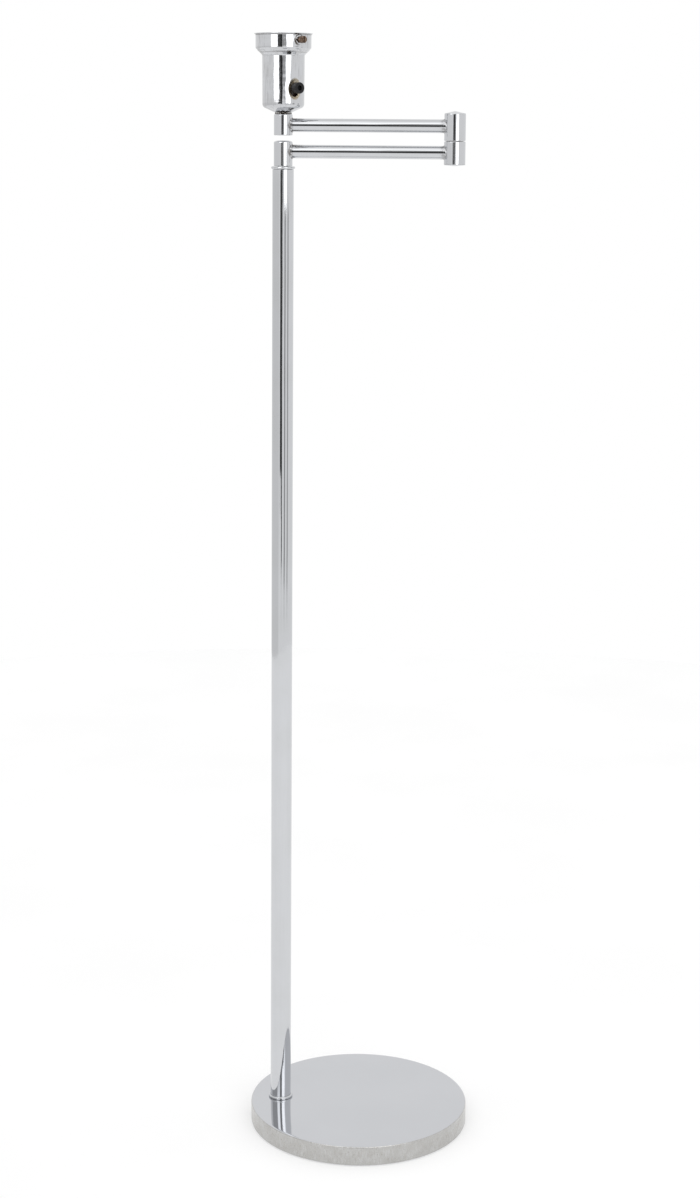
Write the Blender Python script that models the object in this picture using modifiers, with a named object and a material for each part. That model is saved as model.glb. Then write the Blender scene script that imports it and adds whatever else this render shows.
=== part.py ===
"""A chrome floor lamp with a double swing arm: a heavy round base with an off-centre pole,
two arms that fold over each other at a knuckle, and a socket cup with a screw-held glass fitter.

Metres, +Z up. The origin is on the floor under the middle of the base. +X runs from the pole
across the base, and the arms fold along it.
"""

import math

import bpy
from mathutils import Matrix, Vector

INCH = 0.0254
GAP = 0.0003  # left between pieces that touch

# Base and pole
BASE_RADIUS = 0.135
BASE_THICKNESS = 0.0238
FELT_THICKNESS = 0.0012
POLE_OFFSET = 0.0986  # pole axis to the middle of the base
POLE_RADIUS = INCH / 2
POLE_WALL = 0.0015
POLE_TOP = 1.1876
FOOT_RING_RADIUS = 0.0150
FOOT_RING_HEIGHT = 0.0030
COUNTERBORE_RADIUS = 0.0150
CORD_BORE = 0.0032
COLLAR_RADIUS = 0.01435
COLLAR_HEIGHT = 0.0032

# Swing arms
ARM_LENGTH = 8 * INCH  # hub axis to knuckle axis
ARM_RADIUS = 5 * INCH / 16
ARM_WALL = 0.00135
HUB_RADIUS = 0.0111
KNUCKLE_RADIUS = INCH / 2
LOWER_ARM_Z = 1.2085
UPPER_ARM_Z = 1.2394
LOWER_HUB_TOP = 1.2215
UPPER_HUB_BOTTOM = 1.2274
UPPER_HUB_TOP = 1.2522
NECK_RADIUS = 0.0100
SEAM_Z = 1.2222  # where the two halves of the knuckle meet
KNUCKLE_BOTTOM = 1.1951
KNUCKLE_TOP = 1.2535
TOP_CAP_APEX = 1.2571
BOTTOM_CAP_APEX = 1.1928

# Hollow pivots and threaded pipe, which carry the wires
PIVOT_RADIUS = INCH / 4
PIVOT_BORE = 0.0040
NIPPLE_RADIUS = 0.0050
NIPPLE_BORE = 0.0032
NUT_FLATS = 0.0140

# Socket cup, with the glass fitter at its top
CUP_BOTTOM = 1.2544
CUP_TOP = 1.3462
CUP_RADIUS = 0.0252
CUP_FOOT_RADIUS = 0.0248
CUP_CORNER = 0.0055
CUP_TAPER_RADIUS = 0.0103  # the bottom is flat to here, then rises as a shallow cone
CUP_TAPER_RISE = 0.0063  # to where the cone would meet the side
SHOULDER_BOTTOM = 1.3210
SHOULDER_TOP = 1.3290
FITTER_BOTTOM_RADIUS = 0.0325
FITTER_TOP_RADIUS = 0.0334
LIP_RADIUS = 0.0347
LIP_HEIGHT = 0.0022
SHEET = 0.0009
HEAD_AZIMUTH = math.radians(-51)  # the way the switch knob and the first fitter screw face

# Fitter screws
SCREW_COUNT = 2
SCREW_Z = 1.3382
SCREW_SHANK_RADIUS = 0.0023
SCREW_HEAD_RADIUS = 0.0041
SCREW_TIP = 0.0295  # distances from the cup's axis
SCREW_HEAD_START = 0.0368
SCREW_HEAD_END = 0.0434
BOSS_TOP = 0.0345
BOSS_FOOT_RADIUS = 0.0066
BOSS_TOP_RADIUS = 0.0048

# Switch and socket
KNOB_Z = 1.2826
KNOB_RADIUS = 0.00665
KNOB_START = 0.0262
KNOB_END = 0.0347
SHAFT_RADIUS = 0.0025
SLOT_WIDTH = 0.0130
SLOT_HEIGHT = 0.0150
SLOT_Z = 1.2798
HOUSING_BOTTOM = 1.2660
HOUSING_TOP = 1.2890
HOUSING_RADIUS = 0.0190
SOCKET_TOP = 1.3215
SHELL_RADIUS = 0.0137

# Heights and places worked out from the sizes above
BASE_BOTTOM = FELT_THICKNESS + GAP
BASE_TOP = BASE_BOTTOM + BASE_THICKNESS
POLE_X = -POLE_OFFSET
TUBE_BORE = POLE_RADIUS - POLE_WALL
UPPER_FLOOR_Z = UPPER_ARM_Z - ARM_RADIUS - 0.0015  # the floor that the knuckle's washer lies on
ARM_SOCKET_DEPTH = 0.0075  # hub axis to the shoulder that the arm's end stops at
CAVITY_RADIUS = 0.0090
KNUCKLE_SOCKET = CAVITY_RADIUS + 0.0005

COARSE, MEDIUM, FINE = 16, 24, 32  # flats round a turned piece
WIDE_FILLET = 0.0020  # wider ones take more steps


# ---------------------------------------------------------------- tools

def clear_scene():
    for item in list(bpy.data.objects):
        bpy.data.objects.remove(item, do_unlink=True)


def new_collection(name):
    collection = bpy.data.collections.new(name)
    bpy.context.scene.collection.children.link(collection)
    return collection


def finish(name, colour, metallic, roughness):
    """A plain Principled material."""
    material = bpy.data.materials.new(name)
    material.use_nodes = True
    shader = material.node_tree.nodes["Principled BSDF"]
    shader.inputs["Base Color"].default_value = (*colour, 1.0)
    shader.inputs["Metallic"].default_value = metallic
    shader.inputs["Roughness"].default_value = roughness
    material.diffuse_color = (*colour, 1.0)
    return material


def rounded(corners, closed):
    """An outline through (radius, height, fillet) corners, with each fillet as an arc."""
    outline = []
    for index, (radius, height, fillet) in enumerate(corners):
        corner = Vector((radius, height))
        is_end = not closed and index in (0, len(corners) - 1)
        if fillet == 0 or is_end:
            outline.append(corner)
            continue
        before = Vector(corners[index - 1][:2]) - corner
        after = Vector(corners[(index + 1) % len(corners)][:2]) - corner
        half_angle = before.angle(after) / 2
        centre = corner + (before.normalized() + after.normalized()).normalized() * (
            fillet / math.sin(half_angle)
        )
        run = fillet / math.tan(half_angle)
        start = corner + before.normalized() * run - centre
        sweep = start.angle_signed(corner + after.normalized() * run - centre)
        arc_steps = 4 if fillet > WIDE_FILLET else 2
        for step in range(arc_steps + 1):
            turn = Matrix.Rotation(-sweep * step / arc_steps, 2)
            outline.append(centre + turn @ start)
    return outline


def place(item, body, location, rotation=(0, 0, 0)):
    """Puts an object on its body's empty."""
    item.location = location
    item.rotation_euler = rotation
    if body is not None:
        item.parent = body
    return item


def turned(name, corners, material, body, location=(0, 0, 0), rotation=(0, 0, 0), steps=MEDIUM):
    """A piece turned about its own Z: corners run down the outer side, then up the bore if it has one."""
    solid = corners[0][0] == 0
    outline = rounded(corners, closed=not solid)
    edges = [(i, i + 1) for i in range(len(outline) - 1)]
    if not solid:
        edges.append((len(outline) - 1, 0))
    mesh = bpy.data.meshes.new(name)
    mesh.from_pydata([(point.x, 0, point.y) for point in outline], edges, [])
    mesh.materials.append(material)
    item = bpy.data.objects.new(name, mesh)
    parts.objects.link(item)
    screw = item.modifiers.new("turn", "SCREW")
    screw.axis = "Z"
    screw.angle = math.tau
    screw.steps = steps
    screw.render_steps = steps
    screw.use_merge_vertices = True
    screw.merge_threshold = 0.00001
    screw.use_smooth_shade = True
    return place(item, body, location, rotation)


def ring(
    name, outer, inner, length, material, body, location,
    rotation=(0, 0, 0), edge=0.0, steps=MEDIUM,
):
    """A tube or washer that stands on its location and runs along its own Z."""
    corners = [(outer, length, edge), (outer, 0, edge), (inner, 0, 0), (inner, length, 0)]
    return turned(name, corners, material, body, location, rotation, steps)


def prism(
    name, radius, length, collection, location,
    rotation=(0, 0, 0), sides=MEDIUM, top_radius=None,
):
    """A closed cylinder, cone or hexagon that stands on its location."""
    bpy.ops.mesh.primitive_cone_add(
        vertices=sides,
        radius1=radius,
        radius2=radius if top_radius is None else top_radius,
        depth=length,
    )
    item = bpy.context.object
    item.name = name
    item.data.transform(Matrix.Translation((0, 0, length / 2)))
    for owner in list(item.users_collection):
        owner.objects.unlink(item)
    collection.objects.link(item)
    return place(item, None, location, rotation)


def hide_cutter(item):
    item.hide_render = True
    item.display_type = "WIRE"
    return item


def drill(name, radius, length, body, location, rotation=(0, 0, 0), sides=MEDIUM):
    """A round cutter that starts at its location and runs along its own Z."""
    item = prism(name, radius, length, cutters, location, rotation, sides)
    item.parent = body
    return hide_cutter(item)


def block(name, size, body, location):
    """A box cutter about its location."""
    bpy.ops.mesh.primitive_cube_add(size=1)
    item = bpy.context.object
    item.name = name
    item.data.transform(Matrix.Diagonal((*size, 1)))
    for owner in list(item.users_collection):
        owner.objects.unlink(item)
    cutters.objects.link(item)
    place(item, body, location)
    return hide_cutter(item)


def combine(item, tool, operation="DIFFERENCE"):
    boolean = item.modifiers.new(tool.name, "BOOLEAN")
    boolean.operation = operation
    boolean.object = tool
    boolean.solver = "EXACT"


def body_axis(name, x, y=0.0, z=0.0, azimuth=None, parent=None):
    """An empty on a joint's axis. With an azimuth its own Z points outwards along that heading."""
    empty = bpy.data.objects.new(name, None)
    empty.empty_display_size = 0.02
    parts.objects.link(empty)
    place(empty, parent, (x, y, z))
    if azimuth is not None:
        empty.rotation_euler = (0, math.pi / 2, azimuth)
    return empty


def hex_nut(name, bore, height, material, body, location):
    corner_radius = NUT_FLATS / math.sqrt(3)
    nut = prism(name, corner_radius, height, parts, location, sides=6)
    nut.parent = body
    nut.data.materials.append(material)
    bore_start = Vector(location) - Vector((0, 0, height))
    combine(nut, drill(name + "_bore", bore, height * 3, body, bore_start))
    return nut


TOWARDS_PLUS_X = (0, math.pi / 2, 0)
TOWARDS_MINUS_X = (0, -math.pi / 2, 0)


# ---------------------------------------------------------------- stand: base and pole

def build_base():
    """A solid steel disc, bored for the pole's stud and grooved below for the cord, on a felt pad."""
    corners = [
        (0, BASE_THICKNESS, 0),
        (BASE_RADIUS, BASE_THICKNESS, 0.0016),
        (BASE_RADIUS, 0, 0.0005),
        (0, 0, 0),
    ]
    disc = turned("base_disc", corners, chrome, None, (0, 0, BASE_BOTTOM), steps=2 * FINE)
    depth = 0.0090
    overrun = 0.0020  # a cutter starts this far outside the disc
    below = BASE_BOTTOM - overrun
    through = BASE_THICKNESS + 2 * overrun
    combine(disc, drill("stud_hole", NIPPLE_RADIUS + GAP, through, None, (POLE_X, 0, below)))
    combine(disc, drill("counterbore", COUNTERBORE_RADIUS, depth + overrun, None, (POLE_X, 0, below)))

    # The cord leaves by a round-topped groove under the edge that is nearest to the pole.
    groove_radius = 0.0043
    groove_z = BASE_BOTTOM + groove_radius
    groove_length = 0.030
    outside = -BASE_RADIUS - 2 * overrun
    groove_start = (outside, 0, groove_z)
    combine(disc, drill("groove_top", groove_radius, groove_length, None, groove_start, TOWARDS_PLUS_X))
    sliver = 0.00002  # keeps the block's sides off the round cutter's
    mouth_height = 0.0060
    mouth_size = (groove_length, 2 * groove_radius - sliver, mouth_height)
    mouth_middle = (outside + groove_length / 2, 0, groove_z - mouth_height / 2)
    combine(disc, block("groove", mouth_size, None, mouth_middle))
    grommet_start = (-BASE_RADIUS + 0.0004, 0, groove_z)
    ring(
        "cord_grommet", groove_radius - GAP, CORD_BORE, 0.0100, black_rubber, None,
        grommet_start, TOWARDS_PLUS_X, steps=COARSE,
    )

    felt_radius = BASE_RADIUS - 0.0030
    felt = [
        (0, FELT_THICKNESS, 0),
        (felt_radius, FELT_THICKNESS, 0),
        (felt_radius, 0, 0),
        (0, 0, 0),
    ]
    turned("base_felt", felt, dark_felt, None, steps=2 * FINE)
    return BASE_BOTTOM + depth


def build_foot(counterbore_top):
    """What clamps the pole to the base: a plug in the tube, a hollow stud, a washer and a nut."""
    bore = NIPPLE_RADIUS + GAP
    washer_radius = COUNTERBORE_RADIUS - 0.0025
    washer_height = 0.0016
    nut_height = 0.0050
    stud_length = 0.0418
    plug_length = 0.0200
    washer_at = (POLE_X, 0, counterbore_top - GAP - washer_height)
    nut_z = washer_at[2] - GAP - nut_height
    stud_at = (POLE_X, 0, nut_z - 0.0010)
    plug_at = (POLE_X, 0, BASE_TOP + 2 * GAP)
    ring("foot_washer", washer_radius, bore, washer_height, zinc, None, washer_at, steps=COARSE)
    hex_nut("foot_nut", bore, nut_height, zinc, None, (POLE_X, 0, nut_z))
    ring("foot_stud", NIPPLE_RADIUS, NIPPLE_BORE, stud_length, zinc, None, stud_at, steps=COARSE)
    ring("foot_plug", TUBE_BORE - GAP, bore, plug_length, zinc, None, plug_at, edge=0.0006)
    corners = [
        (FOOT_RING_RADIUS, FOOT_RING_HEIGHT, 0.0012),
        (FOOT_RING_RADIUS, 0, 0.0004),
        (POLE_RADIUS + GAP, 0, 0),
        (POLE_RADIUS + GAP, FOOT_RING_HEIGHT, 0),
    ]
    turned("foot_ring", corners, chrome, None, (POLE_X, 0, BASE_TOP + GAP))


def build_pole():
    bottom = BASE_TOP + GAP
    ring("pole_tube", POLE_RADIUS, TUBE_BORE, POLE_TOP - bottom, chrome, None, (POLE_X, 0, bottom))
    bushing_height = 0.0270
    bushing_z = POLE_TOP - bushing_height
    bore = PIVOT_RADIUS + GAP
    bushing_at = (POLE_X, 0, bushing_z)
    ring("top_bushing", TUBE_BORE - GAP, bore, bushing_height, bronze, None, bushing_at)
    bead = 0.0014
    corners = [
        (COLLAR_RADIUS, COLLAR_HEIGHT, bead),
        (COLLAR_RADIUS, 0, bead),
        (bore, 0, 0),
        (bore, COLLAR_HEIGHT, 0),
    ]
    turned("collar_ring", corners, chrome, None, (POLE_X, 0, POLE_TOP + GAP))
    return bushing_z


# ---------------------------------------------------------------- swing arms

def build_arm(name, body, hub_x, knuckle_x, height):
    """A tube from a hub's socket to the knuckle's socket; both x are on its body's own axis frame."""
    heading = 1 if knuckle_x > hub_x else -1
    start = hub_x + heading * (ARM_SOCKET_DEPTH + GAP)
    length = ARM_LENGTH - ARM_SOCKET_DEPTH - GAP - KNUCKLE_SOCKET
    rotation = TOWARDS_PLUS_X if heading > 0 else TOWARDS_MINUS_X
    ring(name, ARM_RADIUS, ARM_RADIUS - ARM_WALL, length, chrome, body, (start, 0, height), rotation)


def bore_hub(hub, body, hub_x, arm_z):
    """The arm's socket in a hub, and the passage for the wires behind it."""
    socket = (hub_x + ARM_SOCKET_DEPTH, 0, arm_z)
    socket_length = 0.0100
    passage = (hub_x - 0.0050, 0, arm_z)
    passage_radius = 0.0062
    passage_length = 0.0150
    for name, radius, length, start in (
        ("_socket", ARM_RADIUS + GAP, socket_length, socket),
        ("_passage", passage_radius, passage_length, passage),
    ):
        combine(hub, drill(hub.name + name, radius, length, body, start, TOWARDS_PLUS_X))


def bore_knuckle(half, body, knuckle_x, arm_z):
    start = (knuckle_x - KNUCKLE_RADIUS - 0.002, 0, arm_z)
    length = 0.0100
    combine(half, drill(half.name + "_socket", ARM_RADIUS + GAP, length, body, start, TOWARDS_PLUS_X))


def build_lower_arm(body, bushing_z):
    """The hub that turns on the pole, its arm, and the lower half of the knuckle."""
    hub_bottom = POLE_TOP + GAP + COLLAR_HEIGHT + GAP
    hub_height = LOWER_HUB_TOP - hub_bottom
    corners = [
        (0, hub_height, 0),
        (0.0078, hub_height - 0.0003, 0),
        (HUB_RADIUS, hub_height - 0.0016, 0.0012),
        (HUB_RADIUS, 0, 0.0005),
        (0, 0, 0),
    ]
    hub = turned("lower_hub", corners, chrome, body, (0, 0, hub_bottom))
    bore_hub(hub, body, 0, LOWER_ARM_Z)
    bore = PIVOT_RADIUS + GAP
    bore_start = (0, 0, hub_bottom - 0.002)
    combine(hub, drill("lower_hub_bore", bore, LOWER_ARM_Z - hub_bottom, body, bore_start))
    build_arm("lower_arm_tube", body, 0, ARM_LENGTH, LOWER_ARM_Z)

    # The hollow pivot hangs from the hub, runs in the bushing and is held below it by a washer and nut.
    stem_at = (0, 0, bushing_z - 0.0100)
    stem_length = LOWER_ARM_Z - ARM_RADIUS - 0.0010 - stem_at[2]
    ring("lower_pivot_stem", PIVOT_RADIUS, PIVOT_BORE, stem_length, zinc, body, stem_at)
    washer_radius = TUBE_BORE - 0.0009
    washer_height = 0.0014
    nut_height = 0.0060
    washer_z = bushing_z - GAP - washer_height
    ring("pivot_washer", washer_radius, bore, washer_height, bronze, body, (0, 0, washer_z), steps=COARSE)
    hex_nut("pivot_locknut", bore, nut_height, zinc, body, (0, 0, washer_z - GAP - nut_height))

    floor_z = LOWER_ARM_Z + ARM_RADIUS + 0.0008
    half_top = SEAM_Z - GAP
    recess_z = half_top - 0.0010
    recess_radius = 0.0102
    corners = [
        (KNUCKLE_RADIUS, half_top, 0.0008),
        (KNUCKLE_RADIUS, KNUCKLE_BOTTOM, 0),
        (CAVITY_RADIUS, KNUCKLE_BOTTOM, 0),
        (CAVITY_RADIUS, floor_z, 0),
        (bore, floor_z, 0),
        (bore, recess_z, 0),
        (recess_radius, recess_z, 0),
        (recess_radius, half_top, 0),
    ]
    half = turned("knuckle_lower", corners, chrome, body, (ARM_LENGTH, 0, 0))
    bore_knuckle(half, body, ARM_LENGTH, LOWER_ARM_Z)
    washer_at = (ARM_LENGTH, 0, recess_z + GAP)
    ring(
        "knuckle_friction_washer", recess_radius - GAP, bore, 0.0009, fibre, body, washer_at,
        steps=COARSE,
    )
    build_knuckle_pivot(body, floor_z)
    cap_z = KNUCKLE_BOTTOM - GAP
    cap_height = cap_z - BOTTOM_CAP_APEX
    build_cap("knuckle_bottom_cap", body, (ARM_LENGTH, 0, cap_z), cap_height, upside_down=True)


def build_knuckle_pivot(body, floor_z):
    """Fixed in the lower half; the upper half turns on it under a washer and nut."""
    bore = PIVOT_RADIUS + GAP
    pivot_length = 0.0205
    washer_height = 0.0012
    nut_height = 0.0045
    pivot_at = (ARM_LENGTH, 0, floor_z - 0.0007)
    washer_at = (ARM_LENGTH, 0, UPPER_FLOOR_Z + GAP)
    nut_at = (ARM_LENGTH, 0, washer_at[2] + washer_height + GAP)
    ring("knuckle_pivot", PIVOT_RADIUS, PIVOT_BORE, pivot_length, zinc, body, pivot_at, steps=COARSE)
    ring("knuckle_washer", CAVITY_RADIUS - GAP, bore, washer_height, bronze, body, washer_at, steps=COARSE)
    hex_nut("knuckle_locknut", bore, nut_height, zinc, body, nut_at)


def build_cap(name, body, location, height, upside_down):
    """A shallow cone that closes a knuckle half, with a plug that enters it."""
    plug = 0.0028
    corners = [
        (0, height, 0),
        (KNUCKLE_RADIUS, 0.0004, 0.0009),
        (KNUCKLE_RADIUS, 0, 0),
        (CAVITY_RADIUS - GAP, 0, 0),
        (CAVITY_RADIUS - GAP, -plug, 0),
        (0, -plug, 0),
    ]
    rotation = (math.pi, 0, 0) if upside_down else (0, 0, 0)
    turned(name, corners, chrome, body, location, rotation)


def build_upper_arm(body):
    """The knuckle's upper half, its arm, and the hub under the cup. x runs from the knuckle's axis."""
    bottom = SEAM_Z + GAP
    corners = [
        (KNUCKLE_RADIUS, KNUCKLE_TOP, 0),
        (KNUCKLE_RADIUS, bottom, 0.0003),
        (PIVOT_RADIUS + GAP, bottom, 0),
        (PIVOT_RADIUS + GAP, UPPER_FLOOR_Z, 0),
        (CAVITY_RADIUS, UPPER_FLOOR_Z, 0),
        (CAVITY_RADIUS, KNUCKLE_TOP, 0),
    ]
    half = turned("knuckle_upper", corners, chrome, body)
    bore_knuckle(half, body, 0, UPPER_ARM_Z)
    cap_z = KNUCKLE_TOP + GAP
    build_cap("knuckle_top_cap", body, (0, 0, cap_z), TOP_CAP_APEX - cap_z, upside_down=False)
    build_arm("upper_arm_tube", body, -ARM_LENGTH, 0, UPPER_ARM_Z)

    height = UPPER_HUB_TOP - UPPER_HUB_BOTTOM
    corners = [(0, height, 0), (HUB_RADIUS, height, 0.0010), (HUB_RADIUS, 0, 0.0008), (0, 0, 0)]
    hub = turned("upper_hub", corners, chrome, body, (-ARM_LENGTH, 0, UPPER_HUB_BOTTOM))
    bore_hub(hub, body, -ARM_LENGTH, UPPER_ARM_Z)
    bore_start = (-ARM_LENGTH, 0, UPPER_ARM_Z)
    combine(hub, drill("upper_hub_bore", NIPPLE_RADIUS + GAP, 0.0200, body, bore_start))


# ---------------------------------------------------------------- socket cup

def cup_corners(inset):
    """The cup's wall from under the lip to the hole in its bottom, moved inwards by inset."""
    return [
        (FITTER_BOTTOM_RADIUS - inset, SHOULDER_TOP + inset / 2, 0.0030),
        (CUP_RADIUS - inset, SHOULDER_BOTTOM + inset / 2, 0.0030),
        (CUP_FOOT_RADIUS - inset, CUP_BOTTOM + CUP_TAPER_RISE + inset * 0.7, CUP_CORNER - inset),
        (CUP_TAPER_RADIUS - inset * 0.2, CUP_BOTTOM + inset, 0.0012),
        (NIPPLE_RADIUS + GAP, CUP_BOTTOM + inset, 0),
    ]


def build_cup(body):
    """Spun sheet: a straight body, a shoulder, and the fitter band with a bead round its mouth."""
    lip_bottom = CUP_TOP - LIP_HEIGHT
    lip = [
        (LIP_RADIUS, CUP_TOP, 0.0006),
        (LIP_RADIUS, lip_bottom, 0.0006),
        (FITTER_TOP_RADIUS, lip_bottom - 0.0006, 0),
    ]
    mouth = [(FITTER_TOP_RADIUS - SHEET, CUP_TOP, 0)]
    corners = lip + cup_corners(0) + cup_corners(SHEET)[::-1] + mouth
    cup = turned("socket_cup", corners, chrome, body, (-ARM_LENGTH, 0, 0), steps=FINE)

    for index in range(SCREW_COUNT):
        azimuth = HEAD_AZIMUTH + index * math.tau / SCREW_COUNT
        heading = Vector((math.cos(azimuth), math.sin(azimuth), 0))
        rotation = (0, math.pi / 2, azimuth)
        centre = Vector((-ARM_LENGTH, 0, SCREW_Z))
        inside_wall = FITTER_BOTTOM_RADIUS - 0.0003
        boss = prism(
            "boss_%d" % (index + 1), BOSS_FOOT_RADIUS, BOSS_TOP - inside_wall, cutters,
            centre + heading * inside_wall, rotation, COARSE, BOSS_TOP_RADIUS,
        )
        boss.parent = body
        combine(cup, hide_cutter(boss), "UNION")
        hole = drill(
            "screw_hole_%d" % (index + 1), SCREW_SHANK_RADIUS + GAP, 0.0100, body,
            centre + heading * (SCREW_TIP - 0.0020), rotation, COARSE,
        )
        combine(cup, hole)

    # The knob's shaft comes out through an upright oval opening.
    heading = Vector((math.cos(HEAD_AZIMUTH), math.sin(HEAD_AZIMUTH), 0))
    start = Vector((-ARM_LENGTH, 0, SLOT_Z)) + heading * 0.015
    slot = drill("knob_opening", SLOT_WIDTH / 2, 0.0200, body, start, (0, math.pi / 2, HEAD_AZIMUTH))
    slot.data.transform(Matrix.Diagonal((SLOT_HEIGHT / SLOT_WIDTH, 1, 1, 1)))
    combine(cup, slot)


def build_cup_fixing(body):
    """The threaded pipe from the hub into the cup, with a ring under it and a washer and nut inside."""
    bore = NIPPLE_RADIUS + GAP
    pipe_at = (-ARM_LENGTH, 0, UPPER_ARM_Z + ARM_RADIUS + 0.0007)
    pipe_length = HOUSING_BOTTOM + 0.0030 - pipe_at[2]
    ring("cup_pipe", NIPPLE_RADIUS, NIPPLE_BORE, pipe_length, zinc, body, pipe_at, steps=COARSE)
    height = CUP_BOTTOM - UPPER_HUB_TOP - 2 * GAP
    ring("neck_ring", NECK_RADIUS, bore, height, chrome, body, (-ARM_LENGTH, 0, UPPER_HUB_TOP + GAP))
    washer_height = 0.0012
    washer_at = (-ARM_LENGTH, 0, CUP_BOTTOM + SHEET + 2 * GAP)
    nut_at = (-ARM_LENGTH, 0, washer_at[2] + washer_height + GAP)
    ring("cup_washer", 0.0095, bore, washer_height, zinc, body, washer_at, steps=COARSE)
    hex_nut("cup_locknut", bore, 0.0040, zinc, body, nut_at)


def build_socket(body):
    """The switch housing, the insulator on it, and the screw shell, sleeve and contact for the bulb."""
    x = -ARM_LENGTH
    wall = 0.0025
    floor = HOUSING_BOTTOM + 0.0035
    bore = NIPPLE_RADIUS + GAP
    corners = [
        (HOUSING_RADIUS, HOUSING_TOP, 0),
        (HOUSING_RADIUS, HOUSING_BOTTOM, 0.0020),
        (bore, HOUSING_BOTTOM, 0),
        (bore, floor, 0),
        (HOUSING_RADIUS - wall, floor, 0),
        (HOUSING_RADIUS - wall, HOUSING_TOP, 0),
    ]
    housing = turned("switch_housing", corners, phenolic, body, (x, 0, 0))
    heading = Vector((math.cos(HEAD_AZIMUTH), math.sin(HEAD_AZIMUTH), 0))
    start = Vector((x, 0, KNOB_Z)) + heading * 0.012
    rotation = (0, math.pi / 2, HEAD_AZIMUTH)
    combine(housing, drill("shaft_hole", SHAFT_RADIUS + GAP, 0.0100, body, start, rotation, COARSE))

    base_z = HOUSING_TOP + GAP
    base_height = 0.0080
    shell_z = base_z + base_height + GAP
    shell_at = (x, 0, shell_z)
    shell_height = SOCKET_TOP - shell_z
    sleeve_bore = SHELL_RADIUS + 0.0004
    contact_bore = 0.0033
    base_at = (x, 0, base_z)
    ring("socket_base", HOUSING_RADIUS, contact_bore, base_height, phenolic, body, base_at, edge=0.0008)
    ring("screw_shell", SHELL_RADIUS, SHELL_RADIUS - 0.0007, shell_height, brass, body, shell_at)
    ring("socket_sleeve", sleeve_bore + 0.0011, sleeve_bore, shell_height + 0.0020, fibre, body, shell_at)
    head_radius = 0.0042
    head_height = 0.0016
    stem_radius = contact_bore - GAP
    stem_bottom = -0.0070
    contact = [
        (0, head_height, 0),
        (head_radius, head_height, 0.0006),
        (head_radius, 0, 0),
        (stem_radius, 0, 0),
        (stem_radius, stem_bottom, 0),
        (0, stem_bottom, 0),
    ]
    turned("centre_contact", contact, brass, body, (x, 0, shell_z), steps=COARSE)


def build_switch(body):
    """The knob, its shaft and the rotor that it turns. Z runs outwards from the cup's axis."""
    recess_radius = 0.0030
    recess_floor = KNOB_END - 0.0028
    dimple = 0.0010
    bore_end = recess_floor - 0.0012
    corners = [
        (KNOB_RADIUS, KNOB_END, 0.0006),
        (KNOB_RADIUS, KNOB_START, 0.0004),
        (SHAFT_RADIUS + GAP, KNOB_START, 0),
        (SHAFT_RADIUS + GAP, bore_end, 0),
        (dimple, bore_end, 0),
        (dimple, recess_floor, 0),
        (recess_radius, recess_floor, 0),
        (recess_radius, KNOB_END, 0),
    ]
    turned("turn_knob", corners, black_plastic, body, steps=MEDIUM)
    shaft_start = 0.0045
    shaft_end = bore_end - GAP
    shaft = [
        (0, shaft_end, 0),
        (SHAFT_RADIUS, shaft_end, 0.0004),
        (SHAFT_RADIUS, shaft_start, 0),
        (0, shaft_start, 0),
    ]
    turned("knob_shaft", shaft, brass, body, steps=COARSE)
    rotor_at = (0, 0, shaft_start + 0.0010)
    ring("switch_rotor", 0.0055, SHAFT_RADIUS + GAP, 0.0050, phenolic, body, rotor_at, steps=COARSE)


def build_fitter_screw(name, body):
    """A slotted brass screw. Z runs outwards from the cup's axis."""
    corners = [
        (0, SCREW_HEAD_END, 0),
        (SCREW_HEAD_RADIUS, SCREW_HEAD_END, 0.0006),
        (SCREW_HEAD_RADIUS, SCREW_HEAD_START, 0.0003),
        (SCREW_SHANK_RADIUS, SCREW_HEAD_START, 0),
        (SCREW_SHANK_RADIUS, SCREW_TIP, 0.0005),
        (0, SCREW_TIP, 0),
    ]
    screw = turned(name, corners, brass, body, steps=COARSE)
    slot_size = (0.012, 0.0011, 0.0024)  # runs up the head, because local X points down
    combine(screw, block(name + "_slot", slot_size, body, (0, 0, SCREW_HEAD_END)))


# ---------------------------------------------------------------- the whole lamp

clear_scene()
parts = new_collection("swing_arm_floor_lamp")
cutters = new_collection("cutters")

chrome = finish("chrome", (0.80, 0.80, 0.81), 1.0, 0.08)
zinc = finish("zinc_plated_steel", (0.60, 0.60, 0.58), 1.0, 0.35)
bronze = finish("bronze", (0.50, 0.33, 0.16), 1.0, 0.35)
brass = finish("brass", (0.55, 0.38, 0.22), 1.0, 0.30)
phenolic = finish("brown_phenolic", (0.03, 0.02, 0.015), 0.0, 0.40)
black_plastic = finish("black_plastic", (0.015, 0.015, 0.016), 0.0, 0.35)
black_rubber = finish("black_rubber", (0.02, 0.02, 0.02), 0.0, 0.70)
dark_felt = finish("dark_felt", (0.04, 0.045, 0.04), 0.0, 0.95)
fibre = finish("fibre_board", (0.55, 0.50, 0.40), 0.0, 0.85)

build_foot(build_base())
lower_bushing_z = build_pole()

lower_axis = body_axis("lower_arm_axis", POLE_X)
build_lower_arm(lower_axis, lower_bushing_z)

upper_axis = body_axis("upper_arm_axis", ARM_LENGTH, parent=lower_axis)
build_upper_arm(upper_axis)
build_cup(upper_axis)
build_cup_fixing(upper_axis)
build_socket(upper_axis)

build_switch(body_axis("knob_axis", -ARM_LENGTH, 0, KNOB_Z, HEAD_AZIMUTH, upper_axis))
for number in range(SCREW_COUNT):
    screw_azimuth = HEAD_AZIMUTH + number * math.tau / SCREW_COUNT
    screw_name = "fitter_screw_%d" % (number + 1)
    screw_axis = body_axis(screw_name + "_axis", -ARM_LENGTH, 0, SCREW_Z, screw_azimuth, upper_axis)
    build_fitter_screw(screw_name, screw_axis)
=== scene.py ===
"""The looks of a chrome swing-arm floor lamp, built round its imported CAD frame.

Metres, +Z up, in the frame's own axes. Pieces that stay closed in keep their CAD mesh and only get a
finish.
"""

import math

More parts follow.
